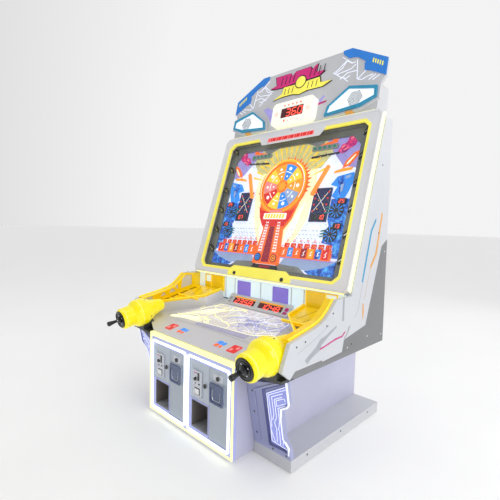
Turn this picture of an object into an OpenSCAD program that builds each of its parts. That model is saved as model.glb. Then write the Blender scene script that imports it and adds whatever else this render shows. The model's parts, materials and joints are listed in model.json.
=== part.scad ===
// Pachinko cabinet: two-player ball game with a leaning glazed playfield, a tilted
// console with two pull launchers, a lit front box with two stations and a header.
// +Z up, floor at z = 0, player side towards -Y. Millimetres.

/* [Cabinet] */
// Width across the outer faces of the two side panels
overall_w = 1240; // [1100:10:1480]
// Thickness of the side panels
side_t = 18; // [15:1:22]
// Width of the lower body behind the front box
lower_w = 840; // [780:10:880]
// Top of the base plinth above the floor
plinth_top = 60; // [50:2:70]
// Distance from the front box face to the front of the plinth
plinth_setback = 140; // [130:5:150]

/* [Front box] */
// Width of the front box
front_w = 700; // [680:5:720]
// Height of the front box at the console lip
lip_z = 467; // [460:1:480]
// Gap round each hinged door in the front face
door_gap = 1; // [0.6:0.1:1.5]
// Depth of the return cups behind the front face
cup_depth = 95; // [60:5:110]

/* [Leaning door] */
// Lean of the playfield and its glazed door from the vertical, in degrees
lean = 17.5; // [15:0.5:20]
// Length of the glazed door along its slope
door_len = 1000; // [830:10:1200]
// Thickness of the glazed door
door_t = 28; // [24:1:32]
// Thickness of the glass pane
glass_t = 6; // [4:1:8]
// Height of the lower edge of the glazed door
door_z = 763; // [755:1:775]

/* [Wheel] */
// Radius of the spinning prize wheel
wheel_r = 155; // [125:5:185]
// Radius of the wheel shaft
shaft_r = 8; // [6:0.5:10]
// Radial clearance of the wheel shaft and the plungers in their bores
run_gap = 0.05; // [0.02:0.01:0.1]

/* [Launchers] */
// Largest radius of the launcher shell
launcher_r = 82; // [68:1:84]
// Downward tilt of the launchers towards the player, in degrees
launcher_tilt = 11.7; // [8:0.1:14]
// Radius of the plunger rod
rod_r = 7; // [5:0.5:9]
// Reach of the plunger knob in front of its disc
knob_reach = 80; // [70:1:90]

/* [Header] */
// Height of the header above the top of the door
header_h = 428; // [400:5:450]
// Lean of the header board from the vertical, in degrees
header_lean = 12.5; // [10:0.5:15]

/* [Hidden] */
$fn = 48;
white = [0.84, 0.84, 0.88];
charcoal = [0.43, 0.44, 0.46];
yellow = [1, 0.93, 0.05];
amber = [0.95, 0.74, 0.05, 0.8];
blue = [0.05, 0.5, 0.93];
steel = [0.66, 0.69, 0.75];
black = [0.06, 0.06, 0.07];
hw = overall_w / 2;
ihw = hw - side_t;
kx = overall_w / 1240;
kt = door_len / 1000;
fhw = front_w / 2;
board_t = 18;
door_y = 494;
door_hw = hw - 12;
side_d = door_t + 2;
foot_h = 4;
floor_z = 458;
floor_t = 18;
deck_tilt = 13.2;
deck_t = 14;
plinth_hw = hw - 47;
panel_gap = 0.5;
back_y = side_pt(door_len - 34, side_d)[0] + 73;
base_back = back_y + 76;
side_top_z = side_pt(door_len - 34, side_d)[1];
launcher_x = hw - 105;
disc_y = -104;
disc_z = 517;
knob_r = 14;
front_y = disc_y - knob_reach * cos(launcher_tilt) - knob_r * sin(launcher_tilt);
y_shift = -(front_y + base_back) / 2;
station_x = 167;
face_t = 18;
wing_lean = 12.1;
play_z = -55;
hub_t = 612 * kt;
top_y = side_pt(door_len, 0)[0];
top_z = side_pt(door_len, 0)[1];
header_y = top_y + 14;
header_z = side_top_z;
pod_top = 184;
lock_t = 20.5;
lock_r = 8.5;
hinge_r = 1.8;
rear_hinge_r = 4;
top_hinge_r = 4;
seam = [[450, 490], [464, 546], [675, 582], [821, 991], [back_y, 1027]];

// A point given by its distance up the slope and its depth behind the door face
function side_pt(t, d) =
    [door_y + t * sin(lean) + d * cos(lean), door_z + t * cos(lean) - d * sin(lean)];

// Outline in Y and Z drawn out from x0 to x1
module across(x0, x1, pts) {
    translate([x0, 0, 0])
        rotate([90, 0, 90])
            linear_extrude(x1 - x0)
                polygon(pts);
}

// Box from its two opposite corners
module block(a, b) {
    translate(a)
        cube(b - a);
}

// Moves a sub-part to the frame with its origin under the middle of the cabinet
module placed() {
    translate([0, y_shift, 0])
        children();
}

// Frame of the leaning door: x across, y up the slope, z out of the door face
module slope() {
    placed()
        translate([0, door_y, door_z])
            rotate([90 - lean, 0, 0])
                children();
}

// Both hands of a piece drawn on the right
module both() {
    children();
    mirror([1, 0, 0])
        children();
}

// Rounded rectangle centred on the origin
module round_rect(w, h, r) {
    square([w - 2 * r, h], center = true);
    square([w, h - 2 * r], center = true);
    for (sx = [-1, 1], sy = [-1, 1])
        translate([sx * (w / 2 - r), sy * (h / 2 - r)])
            circle(r);
}

// Rectangle with cut corners, centred on the origin
module cut_rect(w, h, c) {
    polygon([[-w / 2 + c, -h / 2], [w / 2 - c, -h / 2], [w / 2, -h / 2 + c], [w / 2, h / 2 - c],
        [w / 2 - c, h / 2], [-w / 2 + c, h / 2], [-w / 2, h / 2 - c], [-w / 2, -h / 2 + c]]);
}

// Plate in the X and Z plane of the front face, y0 to y1
module face_plate(y0, y1) {
    placed()
        translate([0, y1, 0])
            rotate([90, 0, 0])
                linear_extrude(y1 - y0)
                    children();
}

module base_plinth() {
    color(white)
        placed()
            block([-plinth_hw, plinth_setback, foot_h], [plinth_hw, base_back, plinth_top]);
}

module levelling_feet() {
    color(black)
        placed()
            for (x = [-plinth_hw + 60, 0, plinth_hw - 60], y = [plinth_setback + 60, base_back - 60])
                translate([x, y, 0])
                    cylinder(h = foot_h, r = 24);
}

module lower_body_boards() {
    color(white)
        placed() {
            both()
                block([lower_w / 2 - board_t, plinth_setback + 30, plinth_top], [lower_w / 2, base_back - board_t, floor_z]);
            block([-lower_w / 2, base_back - board_t, plinth_top], [lower_w / 2, base_back, floor_z]);
            both()
                across(fhw - board_t, fhw, [[face_t, 16], [plinth_setback - 1, 16], [plinth_setback - 1, plinth_top],
                    [402, plinth_top], [402, floor_z], [148, floor_z], [148, deck_under(148) - 1], [face_t, deck_under(face_t) - 1]]);
            block([-fhw + board_t, face_t, 16], [fhw - board_t, plinth_setback - 1, 34]);
            block([-lower_w / 2, back_y, floor_z], [lower_w / 2, base_back, floor_z + 14]);
        }
}

// Height of the deck's underside at a given distance from the front face
function deck_under(y) = lip_z - deck_t / cos(deck_tilt) + y * tan(deck_tilt);

module cabinet_floor() {
    color(white)
        placed()
            difference() {
                block([-ihw, 150, floor_z], [ihw, back_y, floor_z + floor_t]);
                for (x = [-260, 260])
                    block([x - 80, 600, floor_z - 1], [x + 80, 760, floor_z + floor_t + 1]);
            }
}

// Upright barrel of a door hinge on the front face
module front_hinge(x, z0, z1, r) {
    placed()
        translate([x, 2, z0])
            cylinder(h = z1 - z0, r = r);
}

module front_face_frame() {
    color([0.74, 0.76, 0.93])
        difference() {
            face_plate(0, face_t)
                difference() {
                    translate([0, (16 + lip_z - 20) / 2])
                        square([front_w, lip_z - 36], center = true);
                    for (c = [-station_x, station_x]) {
                        translate([c - 144 - door_gap, 210])
                            square([288 + 2 * door_gap, 196]);
                        translate([c + 7.5, 49])
                            square([136.5 + door_gap, 200]);
                        translate([c - 126, 62])
                            square([129, 142]);
                    }
                }
            for (c = [-station_x, station_x]) {
                front_hinge(c - 144, 210, 406, hinge_r + 0.3);
                front_hinge(c + 144, 49, 406, hinge_r + 0.3);
            }
        }
}

module return_cups() {
    color([0.33, 0.3, 0.29])
        placed()
            for (c = [-station_x, station_x])
                difference() {
                    block([c - 125.5, 0, 62.5], [c + 2.5, cup_depth, 203.5]);
                    block([c - 122.5, -1, 65.5], [c - 0.5, cup_depth - 3, 200.5]);
                }
}

module front_light_strips() {
    color([0.9, 0.93, 1]) {
        for (c = [-station_x, station_x])
            face_plate(-7, 0)
                translate([c, 232])
                    difference() {
                        round_rect(322, 396, 32);
                        round_rect(294, 368, 5);
                    }
        placed()
            block([-fhw, -6, lip_z - 20], [fhw, 12, lip_z]);
        face_plate(-6, 0)
            both()
                translate([fhw - 11, 16])
                    square([11, lip_z - 37]);
        face_plate(-6, 0)
            translate([-fhw + 12, 16])
                square([front_w - 24, 9]);
    }
}

// Frame of the leaning wing: x across, y up the wing, z out of its face
module wing() {
    placed()
        translate([0, plinth_setback, plinth_top])
            rotate([90 + wing_lean, 0, 0])
                children();
}

module wing_shape(g) {
    o = plinth_hw;
    polygon([[fhw + 2 + g, g], [o - g, g], [o - 5 - g, 49], [o - 25 - g, 97], [o - 26 - g, 249],
        [o + 20 - g, 280], [o + 23 - g, 386 - g], [fhw + 2 + g, 320 - g]]);
}

module wing_light_shape(g, outer_gap) {
    o = plinth_hw - outer_gap;
    i = plinth_hw - 113 + g;
    polygon([[i, 37 + g], [o - 12, 44 + g], [o - 29, 97], [o - 30, 251],
        [o + 16, 283], [o + 18, 370 - g], [i + 6, 300 - g]]);
}

module wing_panels() {
    color([0.72, 0.73, 0.8])
        both()
            wing()
                difference() {
                    translate([0, 0, -24])
                        linear_extrude(24)
                            wing_shape(0);
                    translate([0, 0, -10])
                        linear_extrude(11)
                            wing_light_shape(-12, 0);
                }
}

module wing_lights() {
    color([0.62, 0.57, 0.98])
        both()
            wing()
                translate([0, 0, -10])
                    linear_extrude(6)
                        wing_light_shape(3, 5);
}

module side_panel() {
    door_foot = side_pt(-3, side_d);
    front_top = side_pt(door_len - 34, side_d);
    color(white)
        placed()
            across(ihw, hw, concat([[85, 490], [52, 462], [-1, 503], [10, 531], [47, 611], [87, 618], [156, 631],
                [222, 644], [270, 657], [300, 671], [336, 698], [362, 722], [388, door_z - 15], door_foot, front_top,
                [back_y, front_top[1]]], [for (i = [4:-1:0]) seam[i]], [[285, 482], [280, 490]]));
}

module left_side_panel() {
    mirror([1, 0, 0])
        side_panel();
}

module right_side_panel() {
    side_panel();
}

module rear_corner_panels() {
    color(charcoal)
        placed()
            both()
                across(ihw, hw, concat([[86, floor_z], [back_y, floor_z]],
                    [for (i = [4:-1:0]) seam[i] - [0, 1]], [[284, 481], [279, 489], [86, 489], [60, 467]]));
}

// Barrel of the service door hinge
module rear_hinge(z0, z1, r) {
    translate([1 - 380 * kx, back_y - 1, z0])
        cylinder(h = z1 - z0, r = r);
}

module rear_frame() {
    open_w = 760 * kx;
    color([0.6, 0.61, 0.65])
        placed()
            difference() {
                block([-ihw, back_y - board_t, floor_z + floor_t], [ihw, back_y, side_top_z]);
                block([-open_w / 2, back_y - board_t - 1, 560], [open_w / 2, back_y + 1, side_top_z - 175]);
                rear_hinge(560, side_top_z - 175, rear_hinge_r + 0.4);
            }
}

module service_door() {
    open_w = 760 * kx - 2;
    color([0.55, 0.56, 0.6])
        placed()
            difference() {
                union() {
                    block([-open_w / 2, back_y - board_t, 561], [open_w / 2, back_y - 1, side_top_z - 176]);
                    rear_hinge(561, side_top_z - 176, rear_hinge_r);
                }
                for (z = [0:11])
                    block([-160, back_y - board_t - 1, side_top_z - 420 + z * 14],
                        [160, back_y, side_top_z - 414 + z * 14]);
                translate([open_w / 2 - 40, back_y - 5, (561 + side_top_z - 176) / 2])
                    rotate([-90, 0, 0])
                        cylinder(h = 10, r = 11);
            }
}

// Inner edge of the right ball ramp, in the plane of the deck
ramp_edge = [[556, 200], [500, 255], [340, 407], [332, 551]];
ramp_h = 60;

// The edge from front to rear and back again, shifted outwards by w
function ramp_strip(w) = concat(ramp_edge, [for (i = [3:-1:0]) ramp_edge[i] + [w, 0]]);

// Plane of the deck: x across, y up the deck, z out of it
module deck_plane() {
    placed()
        translate([0, 0, lip_z])
            rotate([deck_tilt, 0, 0])
                children();
}

module console_deck() {
    n = launcher_x - 50;
    c = cos(deck_tilt);
    back = 544 / c;
    color(white)
        deck_plane() {
            translate([0, 0, -deck_t])
                linear_extrude(deck_t)
                    polygon([[-fhw, 16], [fhw, 16], [n, 73], [n, 94], [ihw, 94], [ihw, back],
                        [-ihw, back], [-ihw, 94], [-n, 94], [-n, 73]]);
            both()
                translate([0, 0, -1])
                    linear_extrude(ramp_h + 1)
                        polygon(ramp_strip(5));
        }
}

// Frame of the right launcher: z along its axis towards the rear, 0 at the disc
module launcher() {
    placed()
        translate([launcher_x, disc_y, disc_z])
            rotate([launcher_tilt - 90, 0, 0])
                children();
}

module launcher_outer() {
    polygon([[0, 0], [54, 0], [61, 7], [63, 70], [launcher_r - 4, 92], [launcher_r, 104], [launcher_r, 146],
        [launcher_r - 5, 158], [64, 186], [53, 205], [42, 250], [36, 276], [30, 284], [0, 284]]);
}

module launcher_shell() {
    color(yellow)
        launcher()
            difference() {
                rotate_extrude($fn = 96)
                    launcher_outer();
                rotate_extrude($fn = 96)
                    polygon([[0, 14], [54, 14], [57, 68], [launcher_r - 9, 94], [launcher_r - 6, 104],
                        [launcher_r - 6, 146], [launcher_r - 10, 156], [58, 182], [46, 203], [36, 246], [33, 262], [0, 262]]);
                translate([0, 0, -1])
                    cylinder(h = 16, r = 44);
                translate([0, 0, -1])
                    cylinder(h = 7, r = 50.5);
            }
}

module left_launcher_shell() {
    mirror([1, 0, 0])
        launcher_shell();
}

module right_launcher_shell() {
    launcher_shell();
}

module launcher_discs() {
    color(black)
        both()
            launcher()
                difference() {
                    union() {
                        translate([0, 0, -3])
                            cylinder(h = 9, r = 50, $fn = 96);
                        translate([0, 0, 6])
                            cylinder(h = 8, r = 43.5, $fn = 96);
                        translate([0, 0, -9])
                            cylinder(h = 8, r = 18);
                    }
                    translate([0, 0, -12])
                        cylinder(h = 30, r = rod_r + run_gap);
                }
}

module plunger() {
    color(black)
        launcher()
            union() {
                translate([0, 0, -30])
                    cylinder(h = 150, r = rod_r);
                rotate_extrude()
                    polygon([[0, -knob_reach], [knob_r - 3, -knob_reach], [knob_r, 3 - knob_reach],
                        [knob_r, 12 - knob_reach], [rod_r + 2, -26], [0, -26]]);
                translate([0, 0, 70])
                    cylinder(h = 8, r = 20);
            }
}

module left_plunger() {
    mirror([1, 0, 0])
        plunger();
}

module right_plunger() {
    plunger();
}

module launcher_brackets() {
    color([0.36, 0.34, 0.26])
        both()
            difference() {
                placed()
                    union() {
                        translate([0, 170, 0])
                            rotate([90, 0, 0])
                                linear_extrude(150)
                                    polygon([[fhw, 428], [ihw, 446], [ihw, floor_z], [fhw, floor_z - 18]]);
                        block([launcher_x - 46, 20, 442], [launcher_x + 62, 87, 500]);
                    }
                launcher()
                    rotate_extrude($fn = 96)
                        launcher_outer();
            }
}

module ball_ramps() {
    arc = [[60, 619], [87, 625], [156, 638], [222, 651], [270, 664], [300, 678], [336, 705], [362, 729], [384, 750]];
    n = len(arc) - 1;
    x1 = ihw - 54;
    color(amber)
        both() {
            deck_plane()
                difference() {
                    union() {
                        translate([0, 0, ramp_h])
                            linear_extrude(4)
                                polygon(concat(ramp_edge, [[ihw, 551], [ihw, 200]]));
                        translate([0, 0, ramp_h])
                            linear_extrude(16)
                                polygon(ramp_strip(13));
                        translate([344, 346, ramp_h])
                            cube([x1 - 344, 10, 14]);
                    }
                    translate([0, 0, ramp_h - 1]) {
                        linear_extrude(20)
                            polygon([[424, 338], [498, 338], [486, 290]]);
                        linear_extrude(20)
                            polygon([[504, 268], [x1 - 4, 336], [x1 - 4, 222]]);
                        for (t = [224, 300, 376, 452])
                            translate([x1 + 4, t])
                                cube([34, 62, 20]);
                    }
                }
            placed() {
                across(ihw - 42, ihw, concat(arc, [for (i = [n:-1:0]) arc[i] + [6, -9]]));
                difference() {
                    across(ihw - 6, ihw, concat([for (i = [2:n]) arc[i]], [[470, 742], [541, 742], [541, 650],
                        [186, 574], [156, 600]]));
                    across(ihw - 7, ihw + 1, [[216, 602], [262, 612], [236, 634]]);
                    across(ihw - 7, ihw + 1, [[282, 616], [338, 630], [302, 656]]);
                    across(ihw - 7, ihw + 1, [[356, 634], [350, 694], [320, 664]]);
                    across(ihw - 7, ihw + 1, [[376, 640], [470, 662], [470, 728], [392, 734]]);
                }
                difference() {
                    block([333, 537, 640], [ihw - 70, 544, door_z - 21]);
                    block([ihw - 140, 536, 690], [ihw - 76, 545, door_z - 28]);
                }
            }
        }
}

module console_display() {
    color(white)
        placed()
            difference() {
                across(-250, 250, [[478, 582], [532, 641], [544, 641], [544, 596]]);
                for (x = [-108, 108])
                    translate([x, 505, 611.5])
                        rotate([47.5, 0, 0])
                            translate([-92, -20, -4])
                                cube([184, 40, 12]);
            }
}

module console_back_panel() {
    color([0.8, 0.9, 1])
        placed()
            block([-ihw, 545, 602], [ihw, 557, door_z - 20]);
}

module coin_door(c) {
    color(steel)
        front_hinge(c - 144, 211, 405, hinge_r);
    color(steel)
        face_plate(2, 14)
            translate([c, 0])
                difference() {
                    translate([-144, 211])
                        square([151, 194]);
                    translate([-79, 296])
                        square([64, 122], center = true);
                    translate([-21, 300])
                        circle(9.2);
                }
}

module coin_mech(c) {
    color([0.82, 0.84, 0.88])
        placed()
            difference() {
                union() {
                    block([c - 114, -4, 231], [c - 44, 2, 361]);
                    block([c - 110.5, 2, 235.5], [c - 47.5, 62, 356.5]);
                }
                block([c - 72, -5, 318], [c - 68, 30, 346]);
                translate([c - 92, 0, 318])
                    rotate([90, 0, 0])
                        cylinder(h = 12, r = 9.3, center = true);
                block([c - 97, -5, 243], [c - 61, 24, 272]);
            }
}

module reject_button(c) {
    color(black)
        placed()
            translate([c - 92, 0.7, 318])
                rotate([90, 0, 0])
                    cylinder(h = 11.5, r = 9);
}

module small_lock(x, z) {
    color([0.3, 0.31, 0.33])
        placed()
            translate([x, 0, z])
                rotate([90, 0, 0]) {
                    translate([0, 0, 0.4])
                        cylinder(h = 4, r = 12);
                    translate([0, 0, -19])
                        cylinder(h = 20, r = 9);
                    translate([-8, -24, -22])
                        cube([16, 34, 3]);
                }
}

module ticket_door(c) {
    color(steel)
        front_hinge(c + 144, 50, 405, hinge_r);
    color(steel)
        face_plate(2, 14)
            translate([c, 0])
                difference() {
                    translate([9, 50])
                        square([135, 355]);
                    translate([72, 364])
                        circle(9.2);
                    translate([72, 278])
                        square([70, 12], center = true);
                }
    color([0.35, 0.42, 0.6])
        placed()
            difference() {
                translate([c + 70, -6, 290])
                    rotate([-90, 0, 0])
                        linear_extrude(8)
                            round_rect(100, 102, 12);
                block([c + 36, -8, 266], [c + 108, 3, 286]);
            }
}

module left_coin_door() {
    coin_door(-station_x);
}

module right_coin_door() {
    coin_door(station_x);
}

module left_coin_mech() {
    coin_mech(-station_x);
}

module right_coin_mech() {
    coin_mech(station_x);
}

module left_reject_button() {
    reject_button(-station_x);
}

module right_reject_button() {
    reject_button(station_x);
}

module left_coin_lock() {
    small_lock(-station_x - 21, 300);
}

module right_coin_lock() {
    small_lock(station_x - 21, 300);
}

module left_ticket_door() {
    ticket_door(-station_x);
}

module right_ticket_door() {
    ticket_door(station_x);
}

module left_ticket_lock() {
    small_lock(-station_x + 72, 364);
}

module right_ticket_lock() {
    small_lock(station_x + 72, 364);
}

module ticket_dispensers() {
    color([0.2, 0.2, 0.22])
        placed()
            for (c = [-station_x, station_x])
                union() {
                    block([c + 30, 34, 240], [c + 110, 154, 330]);
                    block([c + 20, 40, 120], [c + 120, 200, 226]);
                    block([c + 60, 60, 226], [c + 80, 140, 240]);
                    block([c + 40, 60, 34], [c + 100, 136, 120]);
                }
}

module cash_boxes() {
    color([0.28, 0.28, 0.3])
        placed()
            for (c = [-station_x, station_x])
                difference() {
                    block([c - 120, 150, plinth_top], [c - 10, 390, 190]);
                    block([c - 117, 153, plinth_top + 3], [c - 13, 387, 191]);
                }
}

module door_frame() {
    color(white)
        slope()
            translate([40 - door_hw, door_len, 0])
                rotate([0, 90, 0])
                    cylinder(h = 2 * door_hw - 80, r = top_hinge_r);
    color(white)
        slope()
            translate([0, 0, -door_t])
                difference() {
                    linear_extrude(door_t)
                        difference() {
                            translate([0, door_len / 2])
                                cut_rect(2 * door_hw, door_len, 22);
                            translate([0, 40 + (door_len - 85) / 2])
                                cut_rect(2 * door_hw - 112, door_len - 85, 36);
                            for (x = [-194, 194])
                                translate([x * kx, lock_t])
                                    circle(lock_r + 0.2);
                        }
                    translate([0, 0, door_t - 14 - glass_t])
                        linear_extrude(glass_t)
                            translate([0, 40 + (door_len - 85) / 2])
                                cut_rect(2 * door_hw - 92, door_len - 65, 36);
                }
}

module door_glass() {
    color([0.8, 0.9, 0.95, 0.3])
        slope()
            translate([0, 0, -14 - glass_t])
                linear_extrude(glass_t)
                    translate([0, 40 + (door_len - 85) / 2])
                        cut_rect(2 * door_hw - 94, door_len - 67, 36);
}

module door_trim() {
    ow = 2 * door_hw - 112;
    oh = door_len - 85;
    color([1, 0.95, 0.35])
        slope() {
            translate([0, 40 + oh / 2, -13.5])
                linear_extrude(13.5)
                    difference() {
                        cut_rect(ow - 1, oh - 1, 36);
                        cut_rect(ow - 22, oh - 22, 32);
                    }
            difference() {
                translate([0, 0, 0])
                    linear_extrude(3)
                        polygon([[-256 * kx, 4], [256 * kx, 4], [256 * kx, 42], [212 * kx, 70],
                            [-212 * kx, 70], [-256 * kx, 42]]);
                for (x = [-194, 194])
                    translate([x * kx, lock_t, -1])
                        cylinder(h = 6, r = lock_r + 0.2);
            }
            translate([0, door_len, 0])
                linear_extrude(3)
                    polygon([[-262 * kx, -30], [262 * kx, -30], [232 * kx, -95], [-232 * kx, -95]]);
        }
}

module frame_lock(x) {
    color([0.3, 0.31, 0.33])
        slope()
            translate([x, lock_t, 0]) {
                translate([0, 0, -door_t - 0.6])
                    cylinder(h = door_t + 4.6, r = lock_r);
                translate([0, 0, 3.4])
                    cylinder(h = 3, r = 12);
                translate([-8, -8, -door_t - 4])
                    cube([16, 26, 3.6]);
            }
}

module left_frame_lock() {
    frame_lock(-194 * kx);
}

module right_frame_lock() {
    frame_lock(194 * kx);
}

module playfield_board() {
    color([0.85, 0.85, 0.9])
        slope()
            translate([0, 0, play_z - 12])
                linear_extrude(12)
                    difference() {
                        translate([-ihw, 12])
                            square([2 * ihw, door_len - 52]);
                        translate([0, hub_t])
                            circle(shaft_r + run_gap);
                        for (s = [-1, 1])
                            translate([s * 249 * kx, 560 * kt])
                                circle(5 + run_gap);
                    }
}

module playfield_surround() {
    h = door_len - 52;
    color([0.36, 0.38, 0.4])
        slope() {
            translate([0, 12 + h / 2, play_z])
                linear_extrude(12)
                    difference() {
                        square([2 * ihw, h], center = true);
                        cut_rect(2 * ihw - 222, h - 130, 60);
                    }
            translate([0, 12 + h / 2, play_z + 12])
                linear_extrude(9)
                    difference() {
                        square([2 * ihw, h], center = true);
                        cut_rect(2 * ihw - 88, h - 44, 40);
                    }
        }
}

// Playfield pin, left out where the wheel ring would cover it
module pin_at(x, t) {
    if (norm([x * kx, t * kt - hub_t]) > wheel_r + 31)
        translate([x * kx, t * kt, play_z])
            cylinder(h = 23, r = 2);
}

module pin_field() {
    color([0.8, 0.82, 0.85])
        slope()
            both() {
                for (row = [0:3], col = [0:6])
                    pin_at(150 + col * 42 + (row % 2) * 18, 262 + row * 34);
                for (row = [0:2], col = [0:3])
                    pin_at(226 + col * 52 + row * 14, 804 - row * 15);
                for (i = [0:3])
                    pin_at(186 - i * 4, 410 + i * 36);
                for (i = [0:7])
                    pin_at(106 + i * 48, 232);
            }
}

module pocket_rows() {
    color([0.95, 0.45, 0.15])
        slope()
            both()
                translate([0, 0, play_z])
                    difference() {
                        translate([106 * kx, 160 * kt, 0])
                            cube([338 * kx, 62 * kt, 24]);
                        for (i = [0:6])
                            translate([(109 + i * 48) * kx, 164 * kt, 4])
                                cube([44 * kx, 62 * kt, 24]);
                    }
}

module centre_tower() {
    color([0.93, 0.3, 0.12])
        slope()
            translate([0, 0, play_z])
                difference() {
                    linear_extrude(20)
                        union() {
                            polygon([[-104 * kx, 108 * kt], [104 * kx, 108 * kt], [74 * kx, 330 * kt],
                                [120 * kx, 400 * kt], [150 * kx, 500 * kt], [-150 * kx, 500 * kt],
                                [-120 * kx, 400 * kt], [-74 * kx, 330 * kt]]);
                            translate([0, hub_t])
                                circle(wheel_r + 28, $fn = 96);
                        }
                    translate([0, hub_t, 4])
                        cylinder(h = 20, r = wheel_r + 2, $fn = 96);
                    translate([0, hub_t, -1])
                        cylinder(h = 8, r = shaft_r + 4);
                }
}

module wheel_disc() {
    color([1, 0.75, 0.2])
        slope()
            translate([0, hub_t, play_z]) {
                translate([0, 0, 5])
                    cylinder(h = 12, r = wheel_r, $fn = 96);
                translate([0, 0, 17])
                    cylinder(h = 6, r = 26);
                translate([0, 0, -32])
                    cylinder(h = 38, r = shaft_r);
            }
}

module wheel_motor() {
    color([0.3, 0.32, 0.34])
        slope()
            translate([0, hub_t, play_z - 12])
                difference() {
                    union() {
                        translate([-45, -45, -5])
                            cube([90, 90, 5]);
                        translate([0, 0, -75])
                            cylinder(h = 70, r = 34);
                    }
                    translate([0, 0, -40])
                        cylinder(h = 42, r = shaft_r + run_gap);
                }
}

// Swinging ball gate: a bar with its pivot pin near the lower end
module gate_bar() {
    color([0.98, 0.35, 0.12])
        slope()
            translate([249 * kx, 560 * kt, play_z])
                rotate([0, 0, -23.5]) {
                    translate([-12, -12, 14])
                        linear_extrude(10)
                            translate([12, 90])
                                round_rect(24, 200, 11.5);
                    translate([0, 0, -14])
                        cylinder(h = 30, r = 5);
                }
}

module left_gate_bar() {
    mirror([1, 0, 0])
        gate_bar();
}

module right_gate_bar() {
    gate_bar();
}

module led_panels() {
    color([0.1, 0.14, 0.4])
        slope()
            both()
                difference() {
                    translate([250 * kx, 384 * kt, play_z])
                        cube([116 * kx, 204 * kt, 9]);
                    translate([249 * kx, 560 * kt, play_z - 1])
                        cylinder(h = 12, r = 14);
                }
}

// Frame of the header board: x across, y up the board, z out of its face
module header() {
    placed()
        translate([0, header_y, header_z + 41])
            rotate([90 - header_lean, 0, 0])
                children();
}

module header_shape() {
    h = header_h;
    polygon([[-560 * kx, 0], [560 * kx, 0], [560 * kx, 158], [584 * kx, h - 228], [584 * kx, h - 130], [352 * kx, h],
        [-352 * kx, h], [-584 * kx, h - 130], [-584 * kx, h - 228], [-560 * kx, 158]]);
}

module header_shell() {
    color([0.8, 0.81, 0.86]) {
        header()
            translate([0, 0, -20])
                linear_extrude(20)
                    header_shape();
        placed()
            difference() {
                across(-552 * kx, 552 * kx, [[side_pt(door_len - 33, side_d + 1)[0], header_z], [back_y, header_z],
                    [back_y + 74, header_z + 96], [back_y + 74, header_z + 196], [header_y + 58, header_z + 204],
                    [header_y + 12, header_z + 46], side_pt(door_len, side_d + 1)]);
                across(18 - 552 * kx, 552 * kx - 18, [[header_y + 30, header_z - 1], [back_y - 12, header_z - 1],
                    [back_y + 56, header_z + 102], [back_y + 56, header_z + 180], [header_y + 76, header_z + 186],
                    [header_y + 40, header_z + 60]]);
            }
    }
}

module header_corner_caps() {
    h = header_h;
    color(blue)
        both()
            header()
                linear_extrude(5)
                    polygon([[292 * kx, h + 3], [352 * kx, h + 3], [587 * kx, h - 128], [588 * kx, h - 229],
                        [484 * kx, h - 172], [453 * kx, h - 163], [447 * kx, h - 124], [453 * kx, h - 109],
                        [393 * kx, h - 65], [362 * kx, h - 57], [340 * kx, h - 57], [297 * kx, h - 20]]);
}

module title_emblem() {
    color([0.85, 0.12, 0.5])
        header()
            translate([0, header_h * 0.66, 0])
                linear_extrude(6)
                    union() {
                        circle(60);
                        for (s = [-1, 1])
                            polygon([[s * 40, 34], [s * 132, 58], [s * 118, 26], [s * 196, 40], [s * 128, -8],
                                [s * 122, 14], [s * 40, -14]]);
                    }
}

module pod_shape(g) {
    polygon([[238 * kx + g, 22 + g], [462 * kx, 34 + g * 1.4], [560 * kx - g, 74 + g * 0.6], [556 * kx - g, 138 - g],
        [382 * kx, 176 - g], [252 * kx + g, 80]]);
}

module speaker_pods() {
    color([0.12, 0.6, 0.8])
        both()
            header() {
                difference() {
                    linear_extrude(26)
                        pod_shape(0);
                    translate([0, 0, 4])
                        linear_extrude(30)
                            pod_shape(14);
                    translate([418 * kx, 98, -1])
                        cylinder(h = 20, r = 36);
                }
                translate([418 * kx, 98, 14])
                    cylinder(h = 4, r = 48);
                translate([418 * kx, 98, 0.5])
                    cylinder(h = 14, r = 34);
            }
}

module score_display() {
    color([0.96, 0.96, 0.93])
        header()
            difference() {
                translate([0, 92, 0])
                    linear_extrude(46)
                        round_rect(330, 156, 30);
                translate([0, 92, 40])
                    linear_extrude(10)
                        square([178, 66], center = true);
            }
}

module main_board() {
    color([0.1, 0.4, 0.2])
        placed() {
            block([-160, 740, floor_z + floor_t], [160, 760, floor_z + floor_t + 12]);
            block([-160, 748, floor_z + floor_t + 12], [160, 751, 700]);
            block([-100, 751, 540], [-20, 767, 620]);
            block([30, 751, 560], [110, 760, 660]);
        }
}

module power_supply() {
    color([0.7, 0.72, 0.74])
        placed()
            block([300, 620, floor_z + floor_t], [410, 760, floor_z + floor_t + 60]);
}

base_plinth();
levelling_feet();
lower_body_boards();
cabinet_floor();
front_face_frame();
return_cups();
front_light_strips();
wing_panels();
wing_lights();
left_side_panel();
right_side_panel();
rear_corner_panels();
rear_frame();
service_door();
console_deck();
left_launcher_shell();
right_launcher_shell();
launcher_discs();
left_plunger();
right_plunger();
launcher_brackets();
ball_ramps();
console_display();
console_back_panel();
left_coin_door();
right_coin_door();
left_coin_mech();
right_coin_mech();
left_reject_button();
right_reject_button();
left_coin_lock();
right_coin_lock();
left_ticket_door();
right_ticket_door();
left_ticket_lock();
right_ticket_lock();
ticket_dispensers();
cash_boxes();
door_frame();
door_glass();
door_trim();
left_frame_lock();
right_frame_lock();
playfield_board();
playfield_surround();
pin_field();
pocket_rows();
centre_tower();
wheel_disc();
wheel_motor();
left_gate_bar();
right_gate_bar();
led_panels();
header_shell();
header_corner_caps();
title_emblem();
speaker_pods();
score_display();
main_board();
power_supply();
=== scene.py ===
"""Looks of a two-player pachinko cabinet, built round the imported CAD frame.

Places are in millimetres in a few local frames (door slope, header board, front face,
wing, deck, side panel, launcher) and become metres when a piece is made.
"""

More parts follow.
